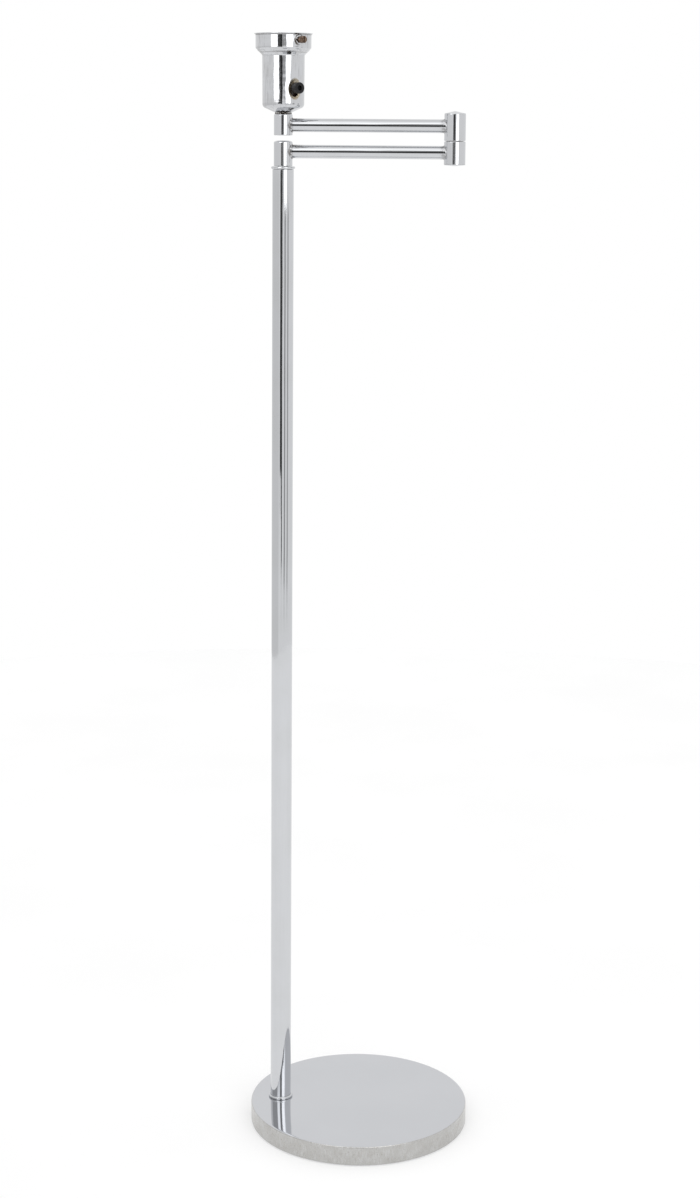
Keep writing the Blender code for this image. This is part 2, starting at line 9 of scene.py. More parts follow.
import bmesh
import bpy
import numpy as np
from mathutils import Matrix, Vector


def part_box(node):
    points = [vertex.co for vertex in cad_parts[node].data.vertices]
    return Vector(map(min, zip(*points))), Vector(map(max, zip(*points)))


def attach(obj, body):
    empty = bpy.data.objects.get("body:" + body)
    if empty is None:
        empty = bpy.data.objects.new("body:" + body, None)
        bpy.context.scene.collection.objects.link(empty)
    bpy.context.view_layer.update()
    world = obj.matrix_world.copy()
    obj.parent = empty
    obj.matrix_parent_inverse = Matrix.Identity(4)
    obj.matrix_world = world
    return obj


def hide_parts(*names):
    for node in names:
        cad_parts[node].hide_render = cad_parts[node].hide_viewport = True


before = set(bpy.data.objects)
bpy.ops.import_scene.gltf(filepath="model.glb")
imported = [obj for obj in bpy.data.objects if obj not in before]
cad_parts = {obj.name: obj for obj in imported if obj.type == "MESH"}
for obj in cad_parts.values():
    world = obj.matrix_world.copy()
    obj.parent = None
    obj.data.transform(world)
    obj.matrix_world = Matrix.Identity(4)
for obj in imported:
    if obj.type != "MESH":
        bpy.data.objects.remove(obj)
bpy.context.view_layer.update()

MM = 0.001
TAU = math.tau

# How fine the meshes are
ARC_STEP = math.radians(11)  # the turn between two points of a fillet
SUPPORT = 0.15 * MM  # from a fillet's end to the extra ring that keeps the straight part flat
SHARP_ANGLE = math.radians(32)
ROUND = 128  # columns of an ordinary turned piece
WIDE_ROUND = 224  # columns of the base

# The lamp's main axes and radii, read from the frame
pole_low, pole_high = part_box("pole_tube")
knuckle_low, knuckle_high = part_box("knuckle_lower")
cup_low, cup_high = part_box("socket_cup")
disc_low, disc_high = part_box("base_disc")
POLE_X = (pole_low.x + pole_high.x) / 2
KNUCKLE_X = (knuckle_low.x + knuckle_high.x) / 2
POLE_RADIUS = (pole_high.x - pole_low.x) / 2
KNUCKLE_RADIUS = (knuckle_high.x - knuckle_low.x) / 2
BASE_RADIUS = disc_high.x

# Bores that several pieces share
PIVOT_BORE = 6.65 * MM  # for the swing joints' stems
PIPE_BORE = 5.3 * MM  # for the pipe that clamps the cup to its hub

# The way the knob and the first fitter screw face, seen from the cup's axis
knob_low, knob_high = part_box("turn_knob")
knob_middle = (knob_low + knob_high) / 2
HEAD_AZIMUTH = math.atan2(knob_middle.y, knob_middle.x - POLE_X)
KNOB_Z = knob_middle.z


# ---------------------------------------------------------------- outlines and meshes

def fillet_arc(before, corner, after, radius):
    """The arc that rounds a corner between two neighbours, as points from one side to the other."""
    to_before = (before - corner).normalized()
    to_after = (after - corner).normalized()
    half_angle = to_before.angle(to_after) / 2
    centre = corner + (to_before + to_after).normalized() * (radius / math.sin(half_angle))
    start = corner + to_before * (radius / math.tan(half_angle)) - centre
    end = corner + to_after * (radius / math.tan(half_angle)) - centre
    sweep = start.angle_signed(end)
    steps = max(3, math.ceil(abs(sweep) / ARC_STEP))
    return [centre + Matrix.Rotation(-sweep * step / steps, 2) @ start for step in range(steps + 1)]


def rounded(corners, closed):
    """An outline down the outer side, through (radius, height, fillet) corners, with fillets as arcs."""
    outline = []
    for index, (radius, height, fillet) in enumerate(corners):
        corner = Vector((radius, height))
        if fillet == 0 or (not closed and index in (0, len(corners) - 1)):
            outline.append(corner)
            continue
        before = Vector(corners[index - 1][:2])
        after = Vector(corners[(index + 1) % len(corners)][:2])
        outline.extend(fillet_arc(before, corner, after, fillet))
    return outline


def supported(outline, closed):
    """The outline with a point close to each end of every straight stretch."""
    points = []
    count = len(outline)
    for index in range(count):
        here = outline[index]
        points.append(here)
        if index == count - 1 and not closed:
            break
        there = outline[(index + 1) % count]
        run = there - here
        if run.length > 4 * SUPPORT:
            step = run.normalized() * SUPPORT
            points.extend((here + step, there - step))
    return points


def smooth_outline(corners, closed):
    """Rounded and supported corners, as (radius, height) pairs."""
    return [(point.x, point.y) for point in supported(rounded(corners, closed), closed)]


def stitched(rings, close_rings):
    """Quads between rings of vertex numbers; a ring of one number is a point on the axis."""
    faces = []
    pairs = list(zip(rings, rings[1:] + rings[:1])) if close_rings else list(zip(rings, rings[1:]))
    for upper, lower in pairs:
        count = max(len(upper), len(lower))
        for column in range(count):
            following = (column + 1) % count
            if len(upper) == 1:
                faces.append((upper[0], lower[column], lower[following]))
            elif len(lower) == 1:
                faces.append((upper[column], lower[0], upper[following]))
            else:
                faces.append((upper[column], lower[column], lower[following], upper[following]))
    return faces


def mesh_object(name, points, faces):
    mesh = bpy.data.meshes.new(name)
    mesh.from_pydata([tuple(point) for point in points], [], faces)
    mesh.update()
    item = bpy.data.objects.new(name, mesh)
    bpy.context.scene.collection.objects.link(item)
    shade(item)
    return item


def shade(item):
    item.data.shade_smooth()
    item.data.set_sharp_from_angle(angle=SHARP_ANGLE)


def lathe(name, corners, columns=ROUND, shape=None):
    """A piece turned about its own Z. shape(angle, radius, height) may move a point's radius and height."""
    solid = corners[0][0] == 0
    return turned(name, smooth_outline(corners, not solid), solid, columns, shape)


def turned(name, outline, solid, columns=ROUND, shape=None):
    """Turns (radius, height) points about Z: a solid's outline ends on the axis, a ring's is closed."""
    points = []
    rings = []
    for radius, height in outline:
        ring = []
        for column in range(1 if radius == 0 else columns):
            angle = column * TAU / columns
            r, z = shape(angle, radius, height) if shape else (radius, height)
            ring.append(len(points))
            points.append((r * math.cos(angle), r * math.sin(angle), z))
        rings.append(ring)
    return mesh_object(name, points, stitched(rings, not solid))


def place(item, x, y=0.0, z=0.0, heading=None):
    """Puts a piece on its axis; with a heading its own Z points outwards that way, and its X down."""
    item.location = (x, y, z)
    if heading is not None:
        item.rotation_euler = (0, math.pi / 2, heading)
    return item


def carve(item, cutter):
    """Cuts one mesh out of another, and drops the cutter."""
    boolean = item.modifiers.new("carve", "BOOLEAN")
    boolean.object = cutter
    boolean.solver = "EXACT"
    bpy.context.view_layer.update()
    evaluated = item.evaluated_get(bpy.context.evaluated_depsgraph_get())
    mesh = bpy.data.meshes.new_from_object(evaluated)
    item.modifiers.clear()
    item.data = mesh
    bpy.data.objects.remove(cutter)
    shade(item)


def block(size, location):
    """A box used as a cutter."""
    item = mesh_object("cutter", [], [])
    shape = bmesh.new()
    matrix = Matrix.Translation(location) @ Matrix.Diagonal((*size, 1))
    bmesh.ops.create_cube(shape, size=1, matrix=matrix)
    shape.to_mesh(item.data)
    shape.free()
    return item


def point_values(item, name, values):
    """Gives each vertex a number that a finish can read."""
    attribute = item.data.attributes.new(name, "FLOAT", "POINT")
    attribute.data.foreach_set("value", np.asarray(values, np.float32))


def settle(item, material, body, slot, *nodes):
    """Gives a piece its finish, its body and the CAD nodes that it stands for."""
    item.data.materials.clear()
    item.data.materials.append(material)
    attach(item, body)
    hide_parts(*nodes)


def upright(node):
    """The radius and the height of a round upright piece, from its box in the frame."""
    low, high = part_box(node)
    return (high.y - low.y) / 2, high.z - low.z


def stand(item, node, material, body, slot, x=POLE_X):
    """Puts an upright piece on its node's place and settles it."""
    low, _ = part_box(node)
    settle(place(item, x, 0, low.z), material, body, slot, node)


def steady_step(value, low, high):
    """0 to 1 at an even slope, with only its ends eased."""
    t = np.clip((value - low) / (high - low), 0, 1)
    return 0.7 * t + 0.3 * t * t * (3 - 2 * t)


def smooth_step(value, low, high):
    """0 to 1, eased all the way."""
    t = np.clip((value - low) / (high - low), 0, 1)
    return t * t * (3 - 2 * t)


# ---------------------------------------------------------------- finishes

class Nodes:
    """Short calls that add nodes to a tree and give back their output sockets."""

    def __init__(self, tree):
        self.tree = tree

    def node(self, kind, **settings):
        node = self.tree.nodes.new(kind)
        for key, value in settings.items():
            setattr(node, key, value)
        return node

    def feed(self, socket, value):
        if isinstance(value, bpy.types.NodeSocket):
            self.tree.links.new(value, socket)
        elif isinstance(value, tuple) and len(value) == 3 and socket.type == "RGBA":
            socket.default_value = (*value, 1)
        else:
            socket.default_value = value

    def add(self, kind, inputs, output=0, **settings):
        """Adds a node, feeds its inputs by name or number, and gives back one of its outputs."""
        node = self.node(kind, **settings)
        for key, value in inputs.items():
            self.feed(node.inputs[key], value)
        return node.outputs[output]

    def math(self, operation, *values):
        return self.add("ShaderNodeMath", dict(enumerate(values)), operation=operation)

    def times(self, first, second):
        return self.math("MULTIPLY", first, second)

    def line(self, value, slope, start):
        """start + slope * value"""
        return self.math("MULTIPLY_ADD", value, slope, start)

    def remap(self, value, low, high, to_low=0.0, to_high=1.0):
        inputs = dict(enumerate((value, low, high, to_low, to_high)))
        return self.add("ShaderNodeMapRange", inputs, interpolation_type="SMOOTHSTEP")

    def split(self, vector):
        node = self.node("ShaderNodeSeparateXYZ")
        self.feed(node.inputs[0], vector)
        return node.outputs


class Finish(Nodes):
    """A material being built on a Principled shader, in the object's own space."""

    def __init__(self, name):
        self.material = bpy.data.materials.new(name)
        self.material.use_nodes = True
        super().__init__(self.material.node_tree)
        self.shader = self.tree.nodes["Principled BSDF"]
        self.object_space = self.node("ShaderNodeTexCoord").outputs["Object"]

    def set(self, **values):
        """Shader inputs by name, with underscores for spaces."""
        for key, value in values.items():
            self.feed(self.shader.inputs[key.replace("_", " ")], value)

    def stretch(self, scale):
        """Object space scaled on each axis."""
        return self.add("ShaderNodeVectorMath", {0: self.object_space, 1: scale}, operation="MULTIPLY")

    def radius(self):
        """Distance from the piece's own Z axis."""
        x, y, _ = self.split(self.object_space)
        return self.math("SQRT", self.math("ADD", self.times(x, x), self.times(y, y)))

    def angle(self):
        x, y, _ = self.split(self.object_space)
        return self.math("ARCTAN2", y, x)

    def noise(self, scale, vector=None, detail=3.0, roughness=0.5, distortion=0.0):
        inputs = {"Vector": vector or self.object_space, "Scale": scale, "Detail": detail}
        inputs.update(Roughness=roughness, Distortion=distortion)
        return self.add("ShaderNodeTexNoise", inputs, "Fac")

    def cells(self, scale):
        """Distance to the nearest of a scatter of points."""
        inputs = {"Vector": self.object_space, "Scale": scale}
        return self.add("ShaderNodeTexVoronoi", inputs, "Distance")

    def mix(self, share, first, second):
        return self.add("ShaderNodeMix", {0: share, 6: first, 7: second}, 2, data_type="RGBA")

    def value_on_points(self, name):
        return self.add("ShaderNodeAttribute", {}, "Fac", attribute_name=name)

    def bump(self, height, distance, strength=1.0, below=None):
        inputs = {"Height": height, "Distance": distance, "Strength": strength}
        if below is not None:
            inputs["Normal"] = below
        return self.add("ShaderNodeBump", inputs)


CHROME = (0.62, 0.63, 0.65)
# The dark tone of dirt and of painted shade on the plated parts.
DIRT_AND_SHADE_TONE = (0.065, 0.052, 0.040)


def polished_chrome():
    """Plated tube and turned parts: a mirror with slight waves, hairline scratches, haze, old dirt, and
    painted shade from a mask on the points.
    """
    f = Finish("chrome_plate")
    # The mask on the points holds dirt and painted shade: shade at the arms' joints, on the arms' tops
    # under the cup and over the neck ring.
    dirt_and_shade = f.value_on_points("grime_and_shade")
    patches = f.noise(420.0, detail=5.0, roughness=0.65)
    dirt_and_shade = f.times(dirt_and_shade, f.remap(patches, 0.34, 0.60))
    haze = f.remap(f.noise(26.0, detail=4.0), 0.35, 0.75)
    specks = f.remap(f.cells(900.0), 0.10, 0.04)
    specks = f.times(specks, f.remap(f.noise(60.0), 0.52, 0.66))
    darkening = f.math("MAXIMUM", dirt_and_shade, f.times(specks, 0.55))
    colour = f.mix(haze, CHROME, (0.60, 0.61, 0.625))
    colour = f.mix(darkening, colour, DIRT_AND_SHADE_TONE)
    roughness = f.line(haze, 0.035, 0.035)
    roughness = f.line(darkening, 0.38, roughness)
    hairlines = f.noise(55.0, f.stretch((9.0, 9.0, 1.0)), detail=6.0, roughness=0.7)
    waves = f.bump(f.noise(12.0, detail=1.0), 0.0009)
    normal = f.bump(f.math("SUBTRACT", hairlines, f.times(darkening, 0.6)), 0.00002, 0.5, waves)
    f.set(Base_Color=colour, Metallic=1.0, Roughness=roughness, Normal=normal)
    return f.material


def spun_chrome():
    """The cup: spinning lines, worn streaks, a duller inside, cream tarnish round its opening, and painted
    shade from a mask on the points.
    """
    f = Finish("spun_chrome")
    tarnish = f.value_on_points("tarnish")
    inside = f.value_on_points("inside")
    grime_and_shade = f.value_on_points("grime_and_shade")
    spots = f.noise(520.0, detail=5.0, roughness=0.6)
    lines = f.noise(1.0, f.stretch((25.0, 25.0, 1500.0)), detail=3.0, roughness=0.6)
    haze = f.remap(f.noise(48.0, detail=4.0), 0.35, 0.75)
    film = f.mix(f.remap(spots, 0.40, 0.66), (0.52, 0.48, 0.38), (0.24, 0.17, 0.10))
    colour = f.mix(haze, CHROME, (0.595, 0.60, 0.61))
    colour = f.mix(f.times(inside, 0.8), colour, (0.40, 0.39, 0.36))
    colour = f.mix(tarnish, colour, film)
    roughness = f.line(haze, 0.03, 0.045)
    roughness = f.line(inside, 0.24, roughness)
    roughness = f.line(tarnish, 0.32, roughness)
    streaks = f.noise(1.0, f.stretch((520.0, 520.0, 34.0)), detail=4.0, roughness=0.6)
    blotches = f.noise(1.0, f.stretch((330.0, 330.0, 120.0)), detail=4.0, roughness=0.62)
    darkening = f.times(f.remap(streaks, 0.46, 0.74), f.remap(blotches, 0.36, 0.62))
    colour = f.mix(f.times(darkening, 0.85), colour, (0.36, 0.36, 0.37))
    # The mask on the points darkens the cup with painted shade round the bosses and in the crease under the
    # bead, with some dirt there, and it also darkens the rows under the lip.
    caked_and_shaded = f.times(grime_and_shade, f.remap(blotches, 0.30, 0.52, 0.45, 1.0))
    colour = f.mix(caked_and_shaded, colour, (0.085, 0.075, 0.065))
    roughness = f.line(caked_and_shaded, 0.25, roughness)
    waves = f.bump(f.noise(1.0, f.stretch((40.0, 40.0, 14.0)), detail=1.0), 0.0005)
    waves = f.bump(f.noise(1.0, f.stretch((240.0, 240.0, 60.0)), detail=2.0), 0.00008, 1.0, waves)
    rings = f.bump(lines, 0.00001, 0.6, waves)
    normal = f.bump(f.times(spots, f.math("MAXIMUM", tarnish, inside)), 0.00012, 0.6, rings)
    f.set(Base_Color=colour, Metallic=1.0, Roughness=roughness, Normal=normal)
    return f.material


def base_chrome():
    """The base: a mirror top with faint orange peel, and a duller, streaked and pitted side."""
    f = Finish("base_chrome")
    radius = f.radius()
    side = f.remap(radius, BASE_RADIUS - 1.1 * MM, BASE_RADIUS - 0.25 * MM)
    round_the_side = f.times(f.angle(), BASE_RADIUS)
    up_the_side = f.times(f.split(f.object_space)[2], 0.12)
    unrolled = f.add("ShaderNodeCombineXYZ", {0: round_the_side, 1: up_the_side})
    streaks = f.noise(900.0, unrolled, detail=4.0, roughness=0.6)
    mottle = f.noise(75.0, detail=5.0, roughness=0.6)
    pits = f.remap(f.cells(520.0), 0.16, 0.06)
    pits = f.times(pits, f.remap(f.noise(120.0), 0.50, 0.64))
    haze = f.remap(f.noise(9.0, detail=3.0), 0.35, 0.72)
    dust = f.remap(f.cells(330.0), 0.055, 0.03)
    dust = f.times(dust, f.remap(f.noise(30.0), 0.50, 0.62))
    top = f.mix(haze, (0.615, 0.625, 0.65), (0.60, 0.61, 0.635))
    top = f.mix(f.times(dust, 0.35), top, (0.30, 0.29, 0.27))
    edge = f.mix(f.remap(mottle, 0.36, 0.66), (0.50, 0.495, 0.485), (0.555, 0.555, 0.55))
    edge = f.mix(f.remap(streaks, 0.40, 0.72), edge, (0.455, 0.445, 0.425))
    edge = f.mix(pits, edge, (0.16, 0.13, 0.10))
    colour = f.mix(side, top, edge)
    dull = f.line(f.remap(streaks, 0.3, 0.7), 0.10, 0.20)
    dull = f.line(pits, 0.3, dull)
    bright = f.line(haze, 0.035, 0.045)
    roughness = f.line(side, f.math("SUBTRACT", dull, bright), bright)
    peel = f.bump(f.noise(14.0, detail=1.5), 0.00025)
    height = f.times(side, f.math("SUBTRACT", f.times(streaks, 0.5), pits))
    normal = f.bump(height, 0.00010, 0.6, peel)
    f.set(Base_Color=colour, Metallic=1.0, Roughness=roughness, Normal=normal)
    return f.material


def metal(name, clean, dark, low, high, scale):
    """A plain or tarnished metal: patches of two colours, uneven gloss and a fine surface grain."""
    f = Finish(name)
    patches = f.remap(f.noise(scale, detail=6.0, roughness=0.62), 0.32, 0.68)
    fine = f.noise(scale * 6, detail=4.0, roughness=0.7)
    colour = f.mix(patches, clean, dark)
    colour = f.mix(f.remap(fine, 0.55, 0.8), colour, tuple(part * 0.6 for part in dark))
    roughness = f.remap(patches, 0.0, 1.0, low, high)
    f.set(Base_Color=colour, Metallic=1.0, Roughness=roughness, Normal=f.bump(fine, 0.00004, 0.7))
    return f.material


def moulded(name, colour, lighter, roughness, sheen=0.5):
    """Moulded plastic, phenolic or rubber: faint flow marks, dust in the pores and a satin grain."""
    f = Finish(name)
    flow = f.remap(f.noise(65.0, detail=5.0, roughness=0.6, distortion=1.2), 0.35, 0.70)
    pores = f.noise(2340.0, detail=3.0, roughness=0.6)
    shade_colour = f.mix(flow, colour, lighter)
    shade_colour = f.mix(f.remap(pores, 0.62, 0.80), shade_colour, tuple(part * 2.2 for part in lighter))
    gloss = f.remap(f.noise(260.0, detail=4.0), 0.3, 0.7, roughness - 0.06, roughness + 0.08)
    f.set(Base_Color=shade_colour, Metallic=0.0, Roughness=gloss, Specular_IOR_Level=sheen)
    f.set(Normal=f.bump(pores, 0.00003, 0.5))
    return f.material


def fibrous(name, colour, lighter, scale, depth):
    """Felt or fibre board: matted threads in two tones."""
    f = Finish(name)
    threads = f.noise(scale, f.stretch((1.0, 1.0, 2.5)), detail=8.0, roughness=0.75, distortion=2.0)
    clumps = f.noise(scale * 0.12, detail=4.0)
    tone = f.mix(f.remap(threads, 0.32, 0.68), colour, lighter)
    tone = f.mix(f.remap(clumps, 0.4, 0.7, 0.0, 0.4), tone, tuple(part * 0.7 for part in colour))
    f.set(Base_Color=tone, Metallic=0.0, Roughness=f.remap(threads, 0.2, 0.8, 0.84, 0.98))
    f.set(Normal=f.bump(threads, depth, 0.9), Sheen_Weight=0.3, Sheen_Roughness=0.5)
    return f.material


chrome = polished_chrome()
cup_finish = spun_chrome()
base_finish = base_chrome()
screw_brass = metal("tarnished_brass", (0.27, 0.185, 0.135), (0.07, 0.048, 0.038), 0.30, 0.50, 420.0)
shell_brass = metal("shell_brass", (0.72, 0.52, 0.27), (0.50, 0.33, 0.16), 0.22, 0.38, 180.0)
bronze = metal("bearing_bronze", (0.50, 0.32, 0.17), (0.32, 0.19, 0.10), 0.28, 0.45, 200.0)
zinc = metal("zinc_plate", (0.56, 0.56, 0.54), (0.38, 0.38, 0.36), 0.28, 0.48, 240.0)
black_plastic = moulded("black_plastic", (0.006, 0.006, 0.007), (0.012, 0.012, 0.013), 0.34, sheen=0.26)
phenolic = moulded("brown_phenolic", (0.022, 0.013, 0.009), (0.045, 0.026, 0.017), 0.34)
rubber = moulded("black_rubber", (0.014, 0.014, 0.014), (0.030, 0.030, 0.029), 0.72)
felt = fibrous("dark_felt", (0.018, 0.020, 0.018), (0.050, 0.052, 0.047), 900.0, 0.0004)
fibre = fibrous("fibre_board", (0.36, 0.30, 0.21), (0.55, 0.48, 0.36), 420.0, 0.0001)


# ---------------------------------------------------------------- base and pole

def build_base():
    """The disc: top slightly crowned down to a rounded rim, with the cord's groove under one edge."""
    height = disc_high.z - disc_low.z
    crown_start = 96 * MM
    crown_drop = 0.45 * MM
    rim = 1.7 * MM
    under_edge = 0.5 * MM

    outline = [(0.0, height)]
    outline += [(radius * MM, height) for radius in (15, 40, 70, 90)] + [(crown_start, height)]
    crown_end = BASE_RADIUS - rim
    steps = 26
    for step in range(1, steps):
        radius = crown_start + (crown_end - crown_start) * step / steps
        outline.append((radius, height - crown_drop * (step / steps) ** 2))
    rim_top = height - crown_drop
    corners = [
        (crown_end - 0.5 * MM, rim_top + 0.01 * MM, 0),
        (BASE_RADIUS, rim_top, rim),
        (BASE_RADIUS, 0, under_edge),
        (20 * MM, 0, 0),
    ]
    outline += smooth_outline(corners, False)[2:]
    outline.append((0.0, 0.0))
    disc = turned("base_disc_chrome", outline, True, WIDE_ROUND)
    place(disc, 0, 0, disc_low.z)

    grommet_low, grommet_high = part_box("cord_grommet")
    groove_radius = (grommet_high.z - grommet_low.z) / 2 + 0.3 * MM
    groove_z = (grommet_low.z + grommet_high.z) / 2
    groove_start = -BASE_RADIUS - 4 * MM
    length = 30 * MM
    corners = [(0, length, 0), (groove_radius, length, 0), (groove_radius, 0, 0), (0, 0, 0)]
    round_top = lathe("cutter", corners, 48)
    lying = Matrix.Rotation(math.pi / 2, 4, "Y")
    round_top.matrix_world = Matrix.Translation((groove_start, 0, groove_z)) @ lying
    carve(disc, round_top)
    depth = 6 * MM  # past the disc's underside
    size = (length, 2 * groove_radius - 0.02 * MM, depth)
    carve(disc, block(size, (groove_start + length / 2, 0, groove_z - depth / 2)))
    settle(disc, base_finish, "stand", "chrome", "base_disc")


def build_felt():
    radius, height = upright("base_felt")

    def frayed(angle, r, z):
        if r < radius - 2 * MM:
            return r, z
        fray = 0.10 * MM * (math.sin(61 * angle) + 0.6 * math.sin(173 * angle + 1.3))
        return r - 0.16 * MM + fray, z

    corners = [(0, height, 0), (radius, height, 0.25 * MM), (radius, 0, 0.25 * MM), (0, 0, 0)]
    pad = lathe("base_pad", corners, 2 * WIDE_ROUND, frayed)
    stand(pad, "base_felt", felt, "stand", "felt", x=0)


def build_grommet():
    low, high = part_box("cord_grommet")
    radius = (high.z - low.z) / 2
    length = high.x - low.x
    waist = radius - 0.35 * MM
    bore = 3.2 * MM
    corners = [
        (radius, length, 0.3 * MM),
        (radius, length - 1.6 * MM, 0.1 * MM),
        (waist, length - 2.2 * MM, 0.1 * MM),
        (waist, 1.8 * MM, 0.1 * MM),
        (radius, 1.2 * MM, 0.1 * MM),
        (radius, 0, 0.5 * MM),
        (bore, 0, 0.35 * MM),
        (bore, length, 0.2 * MM),
    ]
    bush = lathe("cord_bush", corners, 64)
    bush.rotation_euler = (0, math.pi / 2, 0)
    bush.location = (low.x, 0, (low.z + high.z) / 2)
    settle(bush, rubber, "stand", "rubber", "cord_grommet")


def build_foot_ring():
    radius, height = upright("foot_ring")
    bore = POLE_RADIUS + 0.06 * MM
    corners = [(radius, height, 1.3 * MM), (radius, 0, 0.35 * MM), (bore, 0, 0), (bore, height, 0.25 * MM)]
    stand(lathe("foot_ring_chrome", corners), "foot_ring", chrome, "stand", "chrome")


def build_pole():
    radius, height = upright("pole_tube")
    bore = radius - 1.5 * MM
    edge = 0.35 * MM
    corners = [(radius, height, edge), (radius, 0, edge), (bore, 0, edge), (bore, height, edge)]
    stand(lathe("pole_chrome", corners), "pole_tube", chrome, "stand", "chrome")


def build_collar():
    radius, height = upright("collar_ring")
    bead = 1.55 * MM
    corners = [(radius, height, bead), (radius, 0, bead), (PIVOT_BORE, 0, 0), (PIVOT_BORE, height, 0)]
    stand(lathe("collar_chrome", corners), "collar_ring", chrome, "stand", "chrome")


# ---------------------------------------------------------------- swing arms

BRAZE = 1.3 * MM  # radius of the fillet where an arm meets a hub or the knuckle
ARM_COLUMNS = 96


def saddle_rings(tube_radius, drum_radius):
    """The fillet between a tube along +X and an upright drum round the origin, from the drum outwards."""
    turn = np.arange(ARM_COLUMNS) * TAU / ARM_COLUMNS
    rings = []
    steps = 8
    for step in range(steps + 1):
        t = math.pi / 2 * step / steps
        reach = tube_radius + BRAZE * (1 - math.sin(t))
        y = reach * np.sin(turn)
        x = np.sqrt(drum_radius ** 2 - y ** 2) + BRAZE * (1 - math.cos(t))
        rings.append(np.stack((x, y, reach * np.cos(turn)), axis=1))
    inside_drum = rings[0] - np.array((0.4 * MM, 0, 0))
    return [inside_drum] + rings


def build_arm(name, node, hub, body):
    """A tube with brazed fillets at both ends. It runs from a hub at the origin to the knuckle along +X."""
    low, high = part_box(node)
    radius = (high.z - low.z) / 2
    bore = radius - 1.35 * MM
    length = KNUCKLE_X - POLE_X
    hub_radius, _ = upright(hub)
    at_hub = saddle_rings(radius, hub_radius)
    at_knuckle = saddle_rings(radius, KNUCKLE_RADIUS)
    mirror = np.array((-1, 1, 1))
    at_knuckle = [ring * mirror + np.array((length, 0, 0)) for ring in at_knuckle]

    turn = np.arange(ARM_COLUMNS) * TAU / ARM_COLUMNS
    circle = np.stack((np.zeros(ARM_COLUMNS), np.sin(turn), np.cos(turn)), axis=1)
    near_ends = [(13 + 1.5 * step) * MM for step in range(16)]
    middle = [length * share for share in (0.3, 0.5, 0.7)]
    stations = near_ends + middle + [length - x - 2 * MM for x in reversed(near_ends)]
    along = [circle * radius + np.array((x, 0, 0)) for x in stations]
    bore_start, bore_end = 8 * MM, length - 9 * MM
    inner = [circle * bore + np.array((x, 0, 0)) for x in (bore_end, length / 2, bore_start)]
    rings = at_hub + along + at_knuckle[::-1] + inner
    points = np.concatenate(rings)
    numbers = np.arange(len(points)).reshape(len(rings), ARM_COLUMNS).tolist()
    faces = stitched(numbers, True)
    arm = mesh_object(name, points, faces)
    # Painted shade, with some dirt: the arm is darker where it meets the hub and the knuckle, and on its
    # top near the hub, under the cup.
    top_side = smooth_step(points[:, 2] / radius, 0.25, 0.85)
    near_hub = 1 - smooth_step(points[:, 0], 15 * MM, 27 * MM)
    knuckle_joint_shade = smooth_step(points[:, 0], length - 19 * MM, length - 13 * MM)
    hub_joint_shade = 1 - smooth_step(points[:, 0], 11.0 * MM, 12.6 * MM)
    dirt_and_shade = np.maximum.reduce((0.9 * top_side * near_hub, 0.5 * knuckle_joint_shade, 0.8 * hub_joint_shade))
    point_values(arm, "grime_and_shade", dirt_and_shade)
    place(arm, POLE_X, 0, (low.z + high.z) / 2)
    settle(arm, chrome, body, "chrome", node)


def build_hubs():
    """The lower hub has a domed top and a bore from below; the upper one is plain."""
    radius, height = upright("lower_hub")
    bore_depth = 6 * MM
    corners = [
        (0, height, 0),
        (7.6 * MM, height - 0.25 * MM, 3 * MM),
        (radius, height - 1.5 * MM, 1.5 * MM),
        (radius, 0, 0.5 * MM),
        (PIVOT_BORE, 0, 0.2 * MM),
        (PIVOT_BORE, bore_depth, 0),
        (0, bore_depth, 0),
    ]
    stand(lathe("lower_hub_chrome", corners), "lower_hub", chrome, "lower_arm", "chrome")

    radius, height = upright("upper_hub")
    corners = [(0, height, 0), (radius, height, 1.1 * MM), (radius, 0, 0.9 * MM), (0, 0, 0)]
    stand(lathe("upper_hub_chrome", corners), "upper_hub", chrome, "upper_arm", "chrome")


def build_knuckle():
    """Two halves, each with a shallow cone over its open end."""
    cavity = 9.0 * MM
    washer_seat = 10.2 * MM
    seat_depth = 1.0 * MM
    _, height = upright("knuckle_lower")
    floor_z = height - 4.5 * MM
    corners = [
        (KNUCKLE_RADIUS, height, 0.9 * MM),
        (KNUCKLE_RADIUS, 0, 0.12 * MM),
        (cavity, 0, 0),
        (cavity, floor_z, 0),
        (PIVOT_BORE, floor_z, 0),
        (PIVOT_BORE, height - seat_depth, 0),
        (washer_seat, height - seat_depth, 0),
        (washer_seat, height, 0.1 * MM),
    ]
    half = lathe("knuckle_lower_chrome", corners)
    stand(half, "knuckle_lower", chrome, "lower_arm", "chrome", x=KNUCKLE_X)

    _, height = upright("knuckle_upper")
    floor_z = 8 * MM
    corners = [
        (KNUCKLE_RADIUS, height, 0.12 * MM),
        (KNUCKLE_RADIUS, 0, 0.5 * MM),
        (PIVOT_BORE, 0, 0.1 * MM),
        (PIVOT_BORE, floor_z, 0),
        (cavity, floor_z, 0),
        (cavity, height, 0),
    ]
    half = lathe("knuckle_upper_chrome", corners)
    stand(half, "knuckle_upper", chrome, "upper_arm", "chrome", x=KNUCKLE_X)
    build_cap("knuckle_top_cap", "upper_arm", upside_down=False)
    build_cap("knuckle_bottom_cap", "lower_arm", upside_down=True)


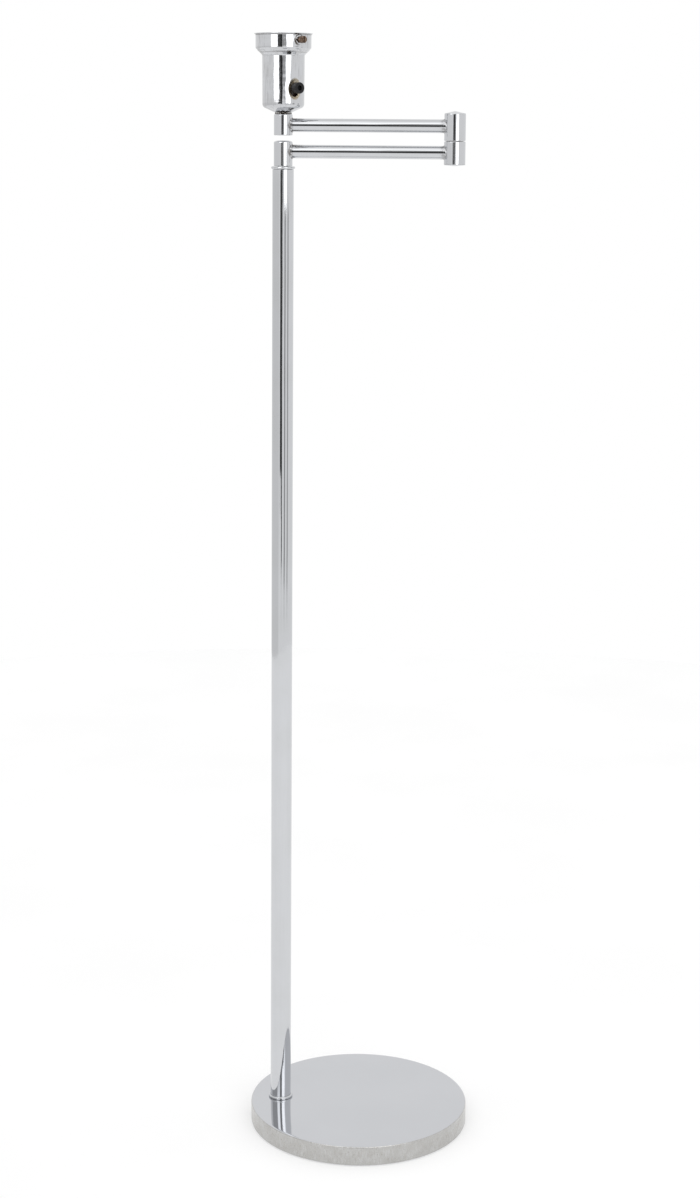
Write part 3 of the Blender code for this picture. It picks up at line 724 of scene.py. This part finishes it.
def build_cap(node, body, upside_down):
    low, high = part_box(node)
    plug = 2.8 * MM
    plug_radius = 8.7 * MM
    height = high.z - low.z - plug
    seat = 0.25 * MM  # the cap closes most of the gap that the CAD leaves under it
    corners = [
        (0, height, 0),
        (1.2 * MM, height - 0.05 * MM, 2.0 * MM),
        (KNUCKLE_RADIUS, 0.75 * MM, 1.1 * MM),
        (KNUCKLE_RADIUS, -seat, 0.1 * MM),
        (plug_radius, -seat, 0),
        (plug_radius, -plug, 0.3 * MM),
        (0, -plug, 0),
    ]
    cap = lathe(node + "_chrome", corners)
    place(cap, KNUCKLE_X, 0, low.z + height if upside_down else high.z - height)
    if upside_down:
        cap.rotation_euler = (math.pi, 0, 0)
    settle(cap, chrome, body, "chrome", node)


# ---------------------------------------------------------------- socket cup

SHEET = 0.9 * MM
CUP_RADIUS = 25.2 * MM
CUP_FOOT_RADIUS = 24.8 * MM
CUP_CORNER = 5.5 * MM
TAPER_RADIUS = 10.3 * MM  # the bottom is flat to here, then rises as a shallow cone
TAPER_RISE = 6.3 * MM
SHOULDER_BOTTOM = cup_low.z + 66.6 * MM
SHOULDER_TOP = cup_low.z + 74.6 * MM
BEAD_Z = cup_low.z + 71.3 * MM
BEAD_HEIGHT = 0.55 * MM
BEAD_WIDTH = 0.75 * MM
BAND_BOTTOM_RADIUS = 32.95 * MM
BAND_TOP_RADIUS = 33.1 * MM
LIP_RADIUS = 34.7 * MM
FLARE = LIP_RADIUS - SHEET / 2 - BAND_TOP_RADIUS  # how far the lip bends outwards
FLARE_HEIGHT = 1.3 * MM
SCREW_Z = 1.3382
SCREW_COUNT = 2
SCREW_HOLE = 2.6 * MM
BOSS_FOOT = 6.6 * MM
BOSS_FLAT = 4.7 * MM
BOSS_REACH = 34.5 * MM
SLOT_Z = 1.2798
SLOT_HALF_WIDTH = 5.9 * MM
SLOT_HALF_HEIGHT = 7.5 * MM
DISH_Z = 1.2814  # the dished rim sits a little higher than the opening in it
DISH_HALF_WIDTH = 9.0 * MM
DISH_HALF_HEIGHT = 12.9 * MM
DISH_DEPTH = 1.0 * MM
DISH_FLOOR = 0.66  # the share of the dish's size that is pressed in all the way
TARNISH_EDGE = (0.88, 1.02)  # where the tarnish round the opening fades out, on the same scale
FINE_GRID = 0.5 * MM
BEAD_GRID = 0.26 * MM
COARSE_GRID = 1.3 * MM
NECK_SHADE = 2.5  # over 1, so that the painted shade on the neck leaves hardly any bare patch


def resampled(outline, spacing):
    """Points along an outline at the distance that spacing(height) asks for."""
    outline = np.array(outline)
    runs = np.hypot(*np.diff(outline, axis=0).T)
    reach = np.concatenate(([0], np.cumsum(runs)))
    places = [0.0]
    while True:
        height = np.interp(places[-1], reach, outline[:, 1])
        following = places[-1] + spacing(height)
        if following > reach[-1] - 0.3 * spacing(height):
            break
        places.append(following)
    places.append(reach[-1])
    return np.stack([np.interp(places, reach, outline[:, axis]) for axis in (0, 1)], axis=1)


def cup_wall():
    """The outer wall from under the lip down to the hole in the bottom, with the waves of spinning."""
    corners = [
        (BAND_TOP_RADIUS, cup_high.z - FLARE_HEIGHT - SHEET, 0),
        (BAND_BOTTOM_RADIUS, SHOULDER_TOP, 2.2 * MM),
        (CUP_RADIUS, SHOULDER_BOTTOM, 2.2 * MM),
        (CUP_FOOT_RADIUS, cup_low.z + TAPER_RISE, CUP_CORNER),
        (TAPER_RADIUS, cup_low.z, 1.2 * MM),
        (PIPE_BORE, cup_low.z, 0),
    ]

    def spacing(height):
        at_bosses = abs(height - SCREW_Z) < BOSS_FOOT + FINE_GRID
        at_slot = abs(height - DISH_Z) < DISH_HALF_HEIGHT + FINE_GRID
        at_shoulder = SHOULDER_BOTTOM - 2 * MM < height < SHOULDER_TOP + 1 * MM
        at_foot = height < cup_low.z + TAPER_RISE + 2 * MM
        if at_shoulder:
            return BEAD_GRID
        return FINE_GRID if at_bosses or at_slot or at_foot else COARSE_GRID

    wall = resampled(rounded(corners, False), spacing)
    depth = wall[:, 1] - cup_low.z
    wave = 0.006 * np.sin(depth / (2.3 * MM)) + 0.004 * np.sin(depth / (1.15 * MM) + 1.0)
    fade = smooth_step(depth, 6 * MM, 16 * MM)
    wall[:, 0] += wave * MM * fade
    bead = np.exp(-((wall[:, 1] - BEAD_Z) / BEAD_WIDTH) ** 2)
    wall[:, 0] += BEAD_HEIGHT * bead
    return wall


def offset_inwards(wall):
    """The wall's inner side, point for point."""
    along = np.gradient(wall, axis=0)
    along /= np.linalg.norm(along, axis=1)[:, None]
    inner = wall + np.stack((along[:, 1], -along[:, 0]), axis=1) * SHEET
    inner[-1] = (wall[-1, 0], wall[-1, 1] + SHEET)
    return inner


def arc(centre, half_width, half_height, start, end, steps):
    """Points of an oval's arc between two angles in degrees."""
    angles = np.radians(np.linspace(start, end, steps + 1))
    return np.array(centre) + np.stack((half_width * np.cos(angles), half_height * np.sin(angles)), axis=1)


def lip_points():
    """The flared lip, from the wall's inner side over its edge and back to the outer side."""
    centre = (BAND_TOP_RADIUS + FLARE, cup_high.z - FLARE_HEIGHT - SHEET)
    over = arc(centre, FLARE + SHEET, FLARE_HEIGHT + SHEET, 180, 90, 9)[1:]
    edge = arc((centre[0], cup_high.z - SHEET / 2), SHEET / 2, SHEET / 2, 90, -90, 6)[1:-1]
    under = arc(centre, FLARE, FLARE_HEIGHT, 90, 180, 7)[:-1]
    return np.concatenate((over, edge, under))


def cup_angles():
    """Column angles, close together round the screws and the knob's opening."""
    fine, coarse = math.radians(0.95), math.radians(2.8)
    dense_halves = (math.radians(21), math.radians(13.5))  # the first is wider, for the knob's opening
    angles = [0.0]
    while angles[-1] < TAU - 0.4 * fine:
        step = coarse
        for index, half in enumerate(dense_halves):
            away = (angles[-1] - index * TAU / SCREW_COUNT + math.pi) % TAU - math.pi
            if abs(away) <= half:
                step = fine
        angles.append(angles[-1] + step)
    return np.array(angles[:-1])


def tangent_frame(points, heading):
    """A point's distance along a heading, across it, both seen from the cup's axis."""
    cosine, sine = math.cos(heading), math.sin(heading)
    along = points[..., 0] * cosine + points[..., 1] * sine
    across = -points[..., 0] * sine + points[..., 1] * cosine
    return along, across


def from_tangent_frame(points, heading, along, across):
    cosine, sine = math.cos(heading), math.sin(heading)
    points[..., 0] = along * cosine - across * sine
    points[..., 1] = along * sine + across * cosine


def touched(cells):
    """True at each grid point that touches a marked cell."""
    return sum(np.roll(np.roll(cells, i, 0), j, 1) for i in (0, 1) for j in (0, 1)) > 0


def build_cup():
    """Spun sheet with pressed-out bosses, screw holes and the knob's dished oval opening."""
    wall = cup_wall()
    inner = offset_inwards(wall)
    outline = np.concatenate((wall, inner[::-1], lip_points()))
    angles = cup_angles()
    rows, columns, wall_rows = len(outline), len(angles), len(wall)
    around = angles + HEAD_AZIMUTH
    points = np.zeros((rows, columns, 3))
    points[..., 0] = outline[:, None, 0] * np.cos(around)
    points[..., 1] = outline[:, None, 0] * np.sin(around)
    points[..., 2] = outline[:, None, 1]
    opposite = 2 * wall_rows - 1 - np.arange(wall_rows)  # the inner row behind each outer row
    tarnish = np.zeros((rows, columns))
    grime_and_shade = np.zeros((rows, columns))
    removed = np.zeros((rows, columns), bool)

    def press(heading, centre_z, weight_of, target_of):
        """Moves both sides of the wall along a heading, by weight towards a target distance."""
        outer = points[:wall_rows]
        along, across = tangent_frame(outer, heading)
        weight = np.where(along > 0, weight_of(across, outer[..., 2] - centre_z), 0)
        shift = weight * (target_of(along) - along)
        direction = np.array((math.cos(heading), math.sin(heading), 0))
        points[:wall_rows] += shift[..., None] * direction
        points[opposite] += shift[..., None] * direction

    def pierce(heading, centre_z, half_width, half_height):
        """Marks the grid cells inside an oval and moves the vertices round them onto it."""
        outer = points[:wall_rows]
        along, across = tangent_frame(outer, heading)
        up = outer[..., 2] - centre_z
        size = np.hypot(across / half_width, up / half_height)
        size = np.where(along > 0, size, np.inf)
        corner_sizes = [np.roll(np.roll(size, -i, 0), -j, 1) for i in (0, 1) for j in (0, 1)]
        inside = (sum(corner_sizes) / 4 < 1) & (np.arange(wall_rows) < wall_rows - 1)[:, None]
        removed[:wall_rows] |= inside
        removed[opposite[1:]] |= inside[:-1]
        for row, column in np.argwhere(touched(inside) & touched(~inside)):
            scale = 1 / size[row, column]
            for side in (row, opposite[row]):
                point = points[side, column]
                reach, sideways = tangent_frame(point, heading)
                moved = across[row, column] * scale
                reach = math.sqrt(reach ** 2 + sideways ** 2 - moved ** 2)
                from_tangent_frame(point, heading, reach, moved)
                point[2] = centre_z + up[row, column] * scale

    for index in range(SCREW_COUNT):
        heading = HEAD_AZIMUTH + index * TAU / SCREW_COUNT
        press(
            heading, SCREW_Z,
            lambda across, up: 1 - steady_step(np.hypot(across, up), BOSS_FLAT, BOSS_FOOT),
            lambda along: BOSS_REACH,
        )
        along, across = tangent_frame(points[:wall_rows], heading)
        from_screw = np.hypot(across, points[:wall_rows, :, 2] - SCREW_Z)
        # Painted shade: a dark ring round the foot of each boss, lighter on its lit side, stands in for the
        # shade round the boss.
        ring = smooth_step(from_screw, BOSS_FLAT, BOSS_FLAT + 0.8 * MM)
        ring *= 1 - smooth_step(from_screw, BOSS_FOOT - 0.2 * MM, BOSS_FOOT + 0.5 * MM)
        lit_side = smooth_step(across - 0.6 * (points[:wall_rows, :, 2] - SCREW_Z), -1 * MM, 5 * MM)
        grime_and_shade[:wall_rows] += np.where(along > 0, ring * (1 - 0.85 * lit_side), 0)
        pierce(heading, SCREW_Z, SCREW_HOLE, SCREW_HOLE)

    def dish_size(across, up):
        return np.hypot(across / DISH_HALF_WIDTH, up / DISH_HALF_HEIGHT)

    press(
        HEAD_AZIMUTH, DISH_Z,
        lambda across, up: 1 - smooth_step(dish_size(across, up), DISH_FLOOR, 1.0),
        lambda along: along - DISH_DEPTH,
    )
    along, across = tangent_frame(points[:wall_rows], HEAD_AZIMUTH)
    size = dish_size(across, points[:wall_rows, :, 2] - DISH_Z)
    rim = np.where(along > 0, 1 - smooth_step(size, *TARNISH_EDGE), 0)
    tarnish[:wall_rows] = rim
    tarnish[opposite] = rim
    pierce(HEAD_AZIMUTH, SLOT_Z, SLOT_HALF_WIDTH, SLOT_HALF_HEIGHT)

    numbers = np.arange(rows * columns).reshape(rows, columns)
    cells = zip(stitched(numbers.tolist(), True), removed.ravel())
    faces = [face for face, is_removed in cells if not is_removed]
    faces += hole_walls(removed, numbers, opposite)

    cup = mesh_object("socket_cup_chrome", points.reshape(-1, 3), faces)
    inside = np.zeros((rows, columns))
    inside[wall_rows:2 * wall_rows] = 1
    lip_rows = 6  # the rows under the lip, which are made darker, as is the wall's top row just under it
    grime_and_shade[-lip_rows:] = 0.5
    grime_and_shade[0] = 0.4
    # Dirt and painted shade in the crease under the bead.
    under_bead = BEAD_Z - 1.5 * MM
    crease_dirt_and_shade = np.exp(-((wall[:, 1] - under_bead) / (0.45 * MM)) ** 2)
    grime_and_shade[:wall_rows] += 0.55 * crease_dirt_and_shade[:, None]
    point_values(cup, "grime_and_shade", np.clip(grime_and_shade, 0, 1).ravel())
    point_values(cup, "tarnish", tarnish.ravel())
    point_values(cup, "inside", inside.ravel())
    remove_loose(cup)
    shade(cup)
    settle(place(cup, POLE_X), cup_finish, "upper_arm", "chrome", "socket_cup")


def hole_walls(removed, numbers, opposite):
    """The sheet's edge round each hole: quads from the outer border to the inner one."""
    columns = numbers.shape[1]
    walls = []
    for row, column in np.argwhere(removed[:len(opposite) - 1]):
        right = (column + 1) % columns
        corners = ((row, column), (row + 1, column), (row + 1, right), (row, right))
        neighbours = ((row, (column - 1) % columns), (row + 1, column), (row, right), (row - 1, column))
        for side, neighbour in enumerate(neighbours):
            if removed[neighbour]:
                continue
            (r1, c1), (r2, c2) = corners[side], corners[(side + 1) % 4]
            edge = ((r1, c1), (r2, c2), (opposite[r2], c2), (opposite[r1], c1))
            walls.append([int(numbers[corner]) for corner in edge])
    return walls


def remove_loose(item):
    """Drops the vertices that no face uses."""
    shape = bmesh.new()
    shape.from_mesh(item.data)
    loose = [vertex for vertex in shape.verts if not vertex.link_faces]
    bmesh.ops.delete(shape, geom=loose, context="VERTS")
    shape.to_mesh(item.data)
    shape.free()


def build_neck():
    radius, height = upright("neck_ring")
    edge = 0.25 * MM
    corners = [(radius, height, edge), (radius, 0, edge), (PIPE_BORE, 0, 0), (PIPE_BORE, height, 0)]
    ring = lathe("neck_ring_chrome", corners)
    # Painted shade: the whole neck ring is darkened, for the shade in the recess between the cup and its
    # hub.
    point_values(ring, "grime_and_shade", [NECK_SHADE] * len(ring.data.vertices))
    stand(ring, "neck_ring", chrome, "upper_arm", "chrome")


# ---------------------------------------------------------------- switch, socket and screws

def build_knob():
    """The knob and its shaft; the recess ends in a floor, with the shaft's end hidden behind it."""
    radius = (knob_high.z - knob_low.z) / 2
    start = 26.2 * MM
    end = 34.7 * MM
    recess = 3.0 * MM
    recess_floor = end - 4.2 * MM
    bore = 2.8 * MM
    bore_end = recess_floor - 1.2 * MM
    pinhole = 0.1 * MM
    corners = [
        (radius, end, 0.7 * MM),
        (radius, start, 0.5 * MM),
        (bore, start, 0.15 * MM),
        (bore, bore_end, 0),
        (pinhole, bore_end, 0),
        (pinhole, recess_floor, 0),
        (recess - 0.15 * MM, recess_floor, 0.3 * MM),
        (recess, end, 0.3 * MM),
    ]
    knob = place(lathe("turn_knob_black", corners, 96), POLE_X, 0, KNOB_Z, HEAD_AZIMUTH)
    settle(knob, black_plastic, "switch_knob", "black_plastic", "turn_knob")

    end = bore_end - 0.3 * MM
    start = 4.5 * MM
    radius = 2.5 * MM
    corners = [(0, end, 0), (radius, end, 0.4 * MM), (radius, start, 0.2 * MM), (0, start, 0)]
    shaft = place(lathe("knob_shaft_brass", corners, 48), POLE_X, 0, KNOB_Z, HEAD_AZIMUTH)
    settle(shaft, shell_brass, "switch_knob", "brass", "knob_shaft")


def build_screw(index, node, body):
    """A slotted screw with a fine thread; its own Z points outwards and its X down."""
    heading = HEAD_AZIMUTH + index * TAU / SCREW_COUNT
    head_start = 36.8 * MM
    head_end = 43.4 * MM
    head_radius = 4.1 * MM
    waist = head_radius - 0.7 * MM
    shank = 2.3 * MM
    tip = 29.5 * MM
    pitch = 0.8 * MM
    thread = 0.28 * MM

    corners = [
        (0, head_end, 0),
        (head_radius, head_end, 0.6 * MM),
        (head_radius, head_start + 3.6 * MM, 0.3 * MM),
        (waist, head_start + 3.2 * MM, 0.2 * MM),
        (waist, head_start + 2.6 * MM, 0.2 * MM),
        (head_radius, head_start + 2.2 * MM, 0.3 * MM),
        (head_radius, head_start, 0.5 * MM),
        (shank - thread, head_start, 0.1 * MM),
        (shank - thread, head_start - 0.5 * MM, 0),
    ]
    outline = smooth_outline(corners, False)
    threaded_from = head_start - 0.6 * MM
    threaded_to = tip + 0.3 * MM
    steps = 80
    for step in range(steps + 1):
        outline.append((shank, threaded_from - (threaded_from - threaded_to) * step / steps))
    outline += [(shank * 0.7, tip), (0.0, tip)]

    def cut_thread(angle, radius, height):
        if radius < shank or height > threaded_from:
            return radius, height
        phase = (height / pitch - angle / TAU) % 1
        ridge = abs(2 * phase - 1)
        runout = min(1, (threaded_from - height) / pitch)
        return radius - thread + thread * ridge * runout, height

    screw = turned("fitter_screw_%d_brass" % (index + 1), outline, True, 64, cut_thread)
    slot_size = (3 * head_radius, 1.1 * MM, 2.4 * MM)
    carve(screw, block(slot_size, (0, 0, head_end)))
    place(screw, POLE_X, 0, SCREW_Z, heading)
    settle(screw, screw_brass, body, "brass", node)


def build_housing():
    """The insulating body under the socket, with a hole for the knob's shaft, and its lid."""
    radius, height = upright("switch_housing")
    inside = radius - 2.5 * MM
    floor_z = 3.5 * MM
    corners = [
        (radius, height, 0.3 * MM),
        (radius, 0, 2 * MM),
        (PIPE_BORE, 0, 0.2 * MM),
        (PIPE_BORE, floor_z, 0),
        (inside, floor_z, 0.5 * MM),
        (inside, height, 0.3 * MM),
    ]
    housing = lathe("switch_housing_phenolic", corners)
    bore = 2.8 * MM
    bore_end, bore_start = 22 * MM, 12 * MM
    corners = [(0, bore_end, 0), (bore, bore_end, 0), (bore, bore_start, 0), (0, bore_start, 0)]
    housing_low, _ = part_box("switch_housing")
    hole = place(lathe("cutter", corners, 48), 0, 0, KNOB_Z - housing_low.z, HEAD_AZIMUTH)
    carve(housing, hole)
    stand(housing, "switch_housing", phenolic, "upper_arm", "phenolic")

    _, height = upright("socket_base")
    contact_hole = 3.3 * MM
    groove_depth = 0.5 * MM
    corners = [
        (radius, height, 0.9 * MM),
        (radius, 0, 0.5 * MM),
        (contact_hole, 0, 0),
        (contact_hole, height, 0.2 * MM),
        (15.6 * MM, height, 0.1 * MM),
        (16.0 * MM, height - groove_depth, 0.1 * MM),
        (16.9 * MM, height - groove_depth, 0.1 * MM),
        (17.3 * MM, height, 0.1 * MM),
    ]
    lid = lathe("socket_base_phenolic", corners)
    stand(lid, "socket_base", phenolic, "upper_arm", "phenolic")


def build_screw_shell():
    """Thin brass with the rolled thread that takes the bulb."""
    outer, height = upright("screw_shell")
    pitch = 3.63 * MM
    depth = 0.55 * MM
    gauge = 0.45 * MM
    plain = 1.2 * MM  # the unthreaded stretch at each end
    steps = 110
    heights = [height * step / steps for step in range(steps + 1)]
    outline = [(outer, z) for z in reversed(heights)] + [(outer - gauge, z) for z in heights]

    def roll_thread(angle, r, z):
        ends = min(1, max(0, (z - plain) / plain)) * min(1, max(0, (height - plain - z) / plain))
        return r - depth * ends * (0.5 + 0.5 * math.cos(TAU * (z / pitch - angle / TAU))), z

    shell = turned("screw_shell_brass", outline, False, 120, roll_thread)
    stand(shell, "screw_shell", shell_brass, "upper_arm", "brass")


def build_sleeve_and_contact():
    _, height = upright("socket_sleeve")
    outer, inner = 15.2 * MM, 14.2 * MM
    corners = [(outer, height, 0.2 * MM), (outer, 0, 0), (inner, 0, 0), (inner, height, 0.2 * MM)]
    stand(lathe("socket_sleeve_fibre", corners), "socket_sleeve", fibre, "upper_arm", "fibre")

    _, height = upright("centre_contact")
    head = 4.2 * MM
    stem = 3.0 * MM
    stem_height = 7.0 * MM
    corners = [
        (0, height, 0),
        (1.4 * MM, height - 0.1 * MM, 1.0 * MM),
        (head, stem_height + 0.5 * MM, 0.4 * MM),
        (head, stem_height, 0.1 * MM),
        (stem, stem_height, 0),
        (stem, 0, 0.2 * MM),
        (0, 0, 0),
    ]
    contact = lathe("centre_contact_brass", corners, 64)
    stand(contact, "centre_contact", shell_brass, "upper_arm", "brass")


def finish_inner_nodes():
    """CAD nodes that stay closed inside the lamp keep their mesh and get a finish."""
    nodes_of = (
        (phenolic, "switch_rotor"),
        (fibre, "knuckle_friction_washer"),
        (bronze, "top_bushing", "pivot_washer", "knuckle_washer"),
        (
            zinc, "foot_washer", "foot_nut", "foot_stud", "foot_plug", "lower_pivot_stem", "pivot_locknut",
            "knuckle_pivot", "knuckle_locknut", "cup_pipe", "cup_washer", "cup_locknut",
        ),
    )
    for finish, *nodes in nodes_of:
        for node in nodes:
            for material_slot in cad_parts[node].material_slots:
                material_slot.material = finish


# ---------------------------------------------------------------- floor, light and camera

WHITE = (1.0, 1.0, 1.0)
FLOOR_RADIUS = 2.5
VIEW_AZIMUTH = math.radians(-84.8)  # the way the camera stands, from the pole


def build_floor():
    floor = turned("studio_floor", [(0.0, 0.0), (FLOOR_RADIUS, 0.0)], True, 96)
    f = Finish("pale_floor")
    tone = f.mix(f.remap(f.noise(3.0), 0.3, 0.7), (0.50, 0.50, 0.50), (0.52, 0.52, 0.52))
    f.set(Base_Color=tone, Roughness=0.9, Specular_IOR_Level=0.1)
    f.set(Emission_Color=WHITE, Emission_Strength=0.47)
    floor.data.materials.append(f.material)


def build_light():
    """The room: pale walls, brighter overhead, with dark gaps round the softboxes and between them."""
    world = bpy.data.worlds.new("studio")
    bpy.context.scene.world = world
    world.use_nodes = True
    world.node_tree.nodes.clear()
    room = Nodes(world.node_tree)

    cosine, sine = math.cos(VIEW_AZIMUTH), math.sin(VIEW_AZIMUTH)
    x, y, z = room.split(room.node("ShaderNodeTexCoord").outputs["Generated"])
    towards = room.math("ADD", room.times(x, cosine), room.times(y, sine))
    sideways = room.math("ADD", room.times(x, -sine), room.times(y, cosine))
    azimuth = room.math("ARCTAN2", sideways, towards)
    elevation = room.math("ARCSINE", z)

    def past(value, limit, blur):
        """0 below a limit and 1 above it, with the limit and its blur in degrees."""
        return room.remap(value, math.radians(limit - blur / 2), math.radians(limit + blur / 2))

    def window(left, right, bottom, top, side_blur, end_blur=4.0):
        """1 inside a patch of the room, in degrees from the camera's side, with soft edges."""
        mask = past(azimuth, left, side_blur)
        mask = room.times(mask, room.math("SUBTRACT", 1.0, past(azimuth, right, side_blur)))
        mask = room.times(mask, past(elevation, bottom, end_blur))
        return room.times(mask, room.math("SUBTRACT", 1.0, past(elevation, top, end_blur)))

    level = 0.93
    patches = [
        (window(-180, -40, -90, -0.5, 4.0), 0.80),  # the room's duller side
        (window(-60, 50, 46, 76, 6.0), 1.25),  # overhead light
        (window(-60, 50, 23, 48, 5.0), 1.75),
        (window(-110, -38, 19, 33, 6.0), 0.56),  # dark gaps above the softboxes
        (window(-9, 38, 19, 33, 6.0), 0.34),
        (window(-29, -13, -9.5, -0.3, 2.5, 1.0), 0.06),  # between the softboxes
        (window(-9, 12, -0.3, 1.9, 3.0, 0.3), 0.42),
        (window(-23, -9, -0.3, 1.9, 3.0, 0.3), 0.07),
        (window(-13, -4.4, -12, 8, 1.2, 2.0), 0.03),
        (window(-22, 4, 2.0, 17, 3.0, 1.0), 0.06),
        (window(17, 30, -12.5, -2.4, 4.0, 0.8), 0.36),  # dark stands below eye level
        (window(50, 64, -12.5, -2.4, 5.0, 0.8), 0.45),
    ]
    for mask, strength in patches:
        level = room.add("ShaderNodeMix", {0: mask, 2: level, 3: strength}, data_type="FLOAT")

    studio = room.add("ShaderNodeBackground", {"Color": WHITE, "Strength": level})
    plain = room.add("ShaderNodeBackground", {"Color": WHITE})
    camera_ray = room.add("ShaderNodeLightPath", {}, "Is Camera Ray")
    seen = room.add("ShaderNodeMixShader", {0: camera_ray, 1: studio, 2: plain})
    room.feed(room.node("ShaderNodeOutputWorld").inputs["Surface"], seen)


def build_softbox(name, bearing, half_angle, distance, bottom, top, radiance):
    """A tall panel light turned towards the pole. Its bearing from the camera's side is in degrees."""
    data = bpy.data.lights.new(name, "AREA")
    data.shape = "RECTANGLE"
    data.size = 2 * distance * math.tan(math.radians(half_angle))
    data.size_y = top - bottom
    data.energy = radiance * math.pi * data.size * data.size_y
    panel = bpy.data.objects.new(name, data)
    bpy.context.scene.collection.objects.link(panel)
    azimuth = VIEW_AZIMUTH + math.radians(bearing)
    panel.location = (
        POLE_X + distance * math.cos(azimuth),
        distance * math.sin(azimuth),
        (bottom + top) / 2,
    )
    panel.rotation_euler = (math.pi / 2, 0, azimuth + math.pi / 2)
    panel.visible_camera = False


CAMERA_DISTANCE = 2.6565  # from the pole's axis
CAMERA_BEARING = math.radians(5.171)  # off the pole's -Y side, towards +X
CAMERA_HEIGHT = 1.2502
CAMERA_HEADING = math.radians(93.407)
CAMERA_TILT = math.radians(8.547)
CAMERA_ROLL = math.radians(0.416)
LENS = 66.705
FRAMING_SHIFT = -0.1244


def build_camera():
    data = bpy.data.cameras.new("camera")
    data.lens = LENS
    data.sensor_width = 36.0
    data.shift_y = FRAMING_SHIFT
    data.clip_start = 0.05
    data.clip_end = 50.0
    camera = bpy.data.objects.new("camera", data)
    bpy.context.scene.collection.objects.link(camera)
    level = math.cos(CAMERA_TILT)
    ahead_x = math.cos(CAMERA_HEADING) * level
    ahead_y = math.sin(CAMERA_HEADING) * level
    forward = Vector((ahead_x, ahead_y, -math.sin(CAMERA_TILT)))
    right = forward.cross(Vector((0, 0, 1))).normalized()
    up = right.cross(forward)
    axis_x = right * math.cos(CAMERA_ROLL) + up * math.sin(CAMERA_ROLL)
    axis_y = up * math.cos(CAMERA_ROLL) - right * math.sin(CAMERA_ROLL)
    matrix = Matrix((axis_x, axis_y, -forward)).transposed().to_4x4()
    matrix.translation = (
        POLE_X + CAMERA_DISTANCE * math.sin(CAMERA_BEARING),
        -CAMERA_DISTANCE * math.cos(CAMERA_BEARING),
        CAMERA_HEIGHT,
    )
    camera.matrix_world = matrix
    bpy.context.scene.camera = camera


build_camera()
build_base()
build_felt()
build_grommet()
build_foot_ring()
build_pole()
build_collar()
build_hubs()
build_arm("lower_arm_chrome", "lower_arm_tube", "lower_hub", "lower_arm")
build_arm("upper_arm_chrome", "upper_arm_tube", "upper_hub", "upper_arm")
build_knuckle()
build_neck()
build_cup()
build_housing()
build_screw_shell()
build_sleeve_and_contact()
build_knob()
build_screw(0, "fitter_screw_1", "screw_front")
build_screw(1, "fitter_screw_2", "screw_back")
finish_inner_nodes()
build_floor()
build_light()
build_softbox("left_softbox", -37, 15, distance=0.55, bottom=1.262, top=1.95, radiance=1.35)
build_softbox("right_softbox", 26.5, 12.5, distance=2.5, bottom=1.05, top=2.2, radiance=1.8)
bpy.context.scene.view_settings.view_transform = "Standard"
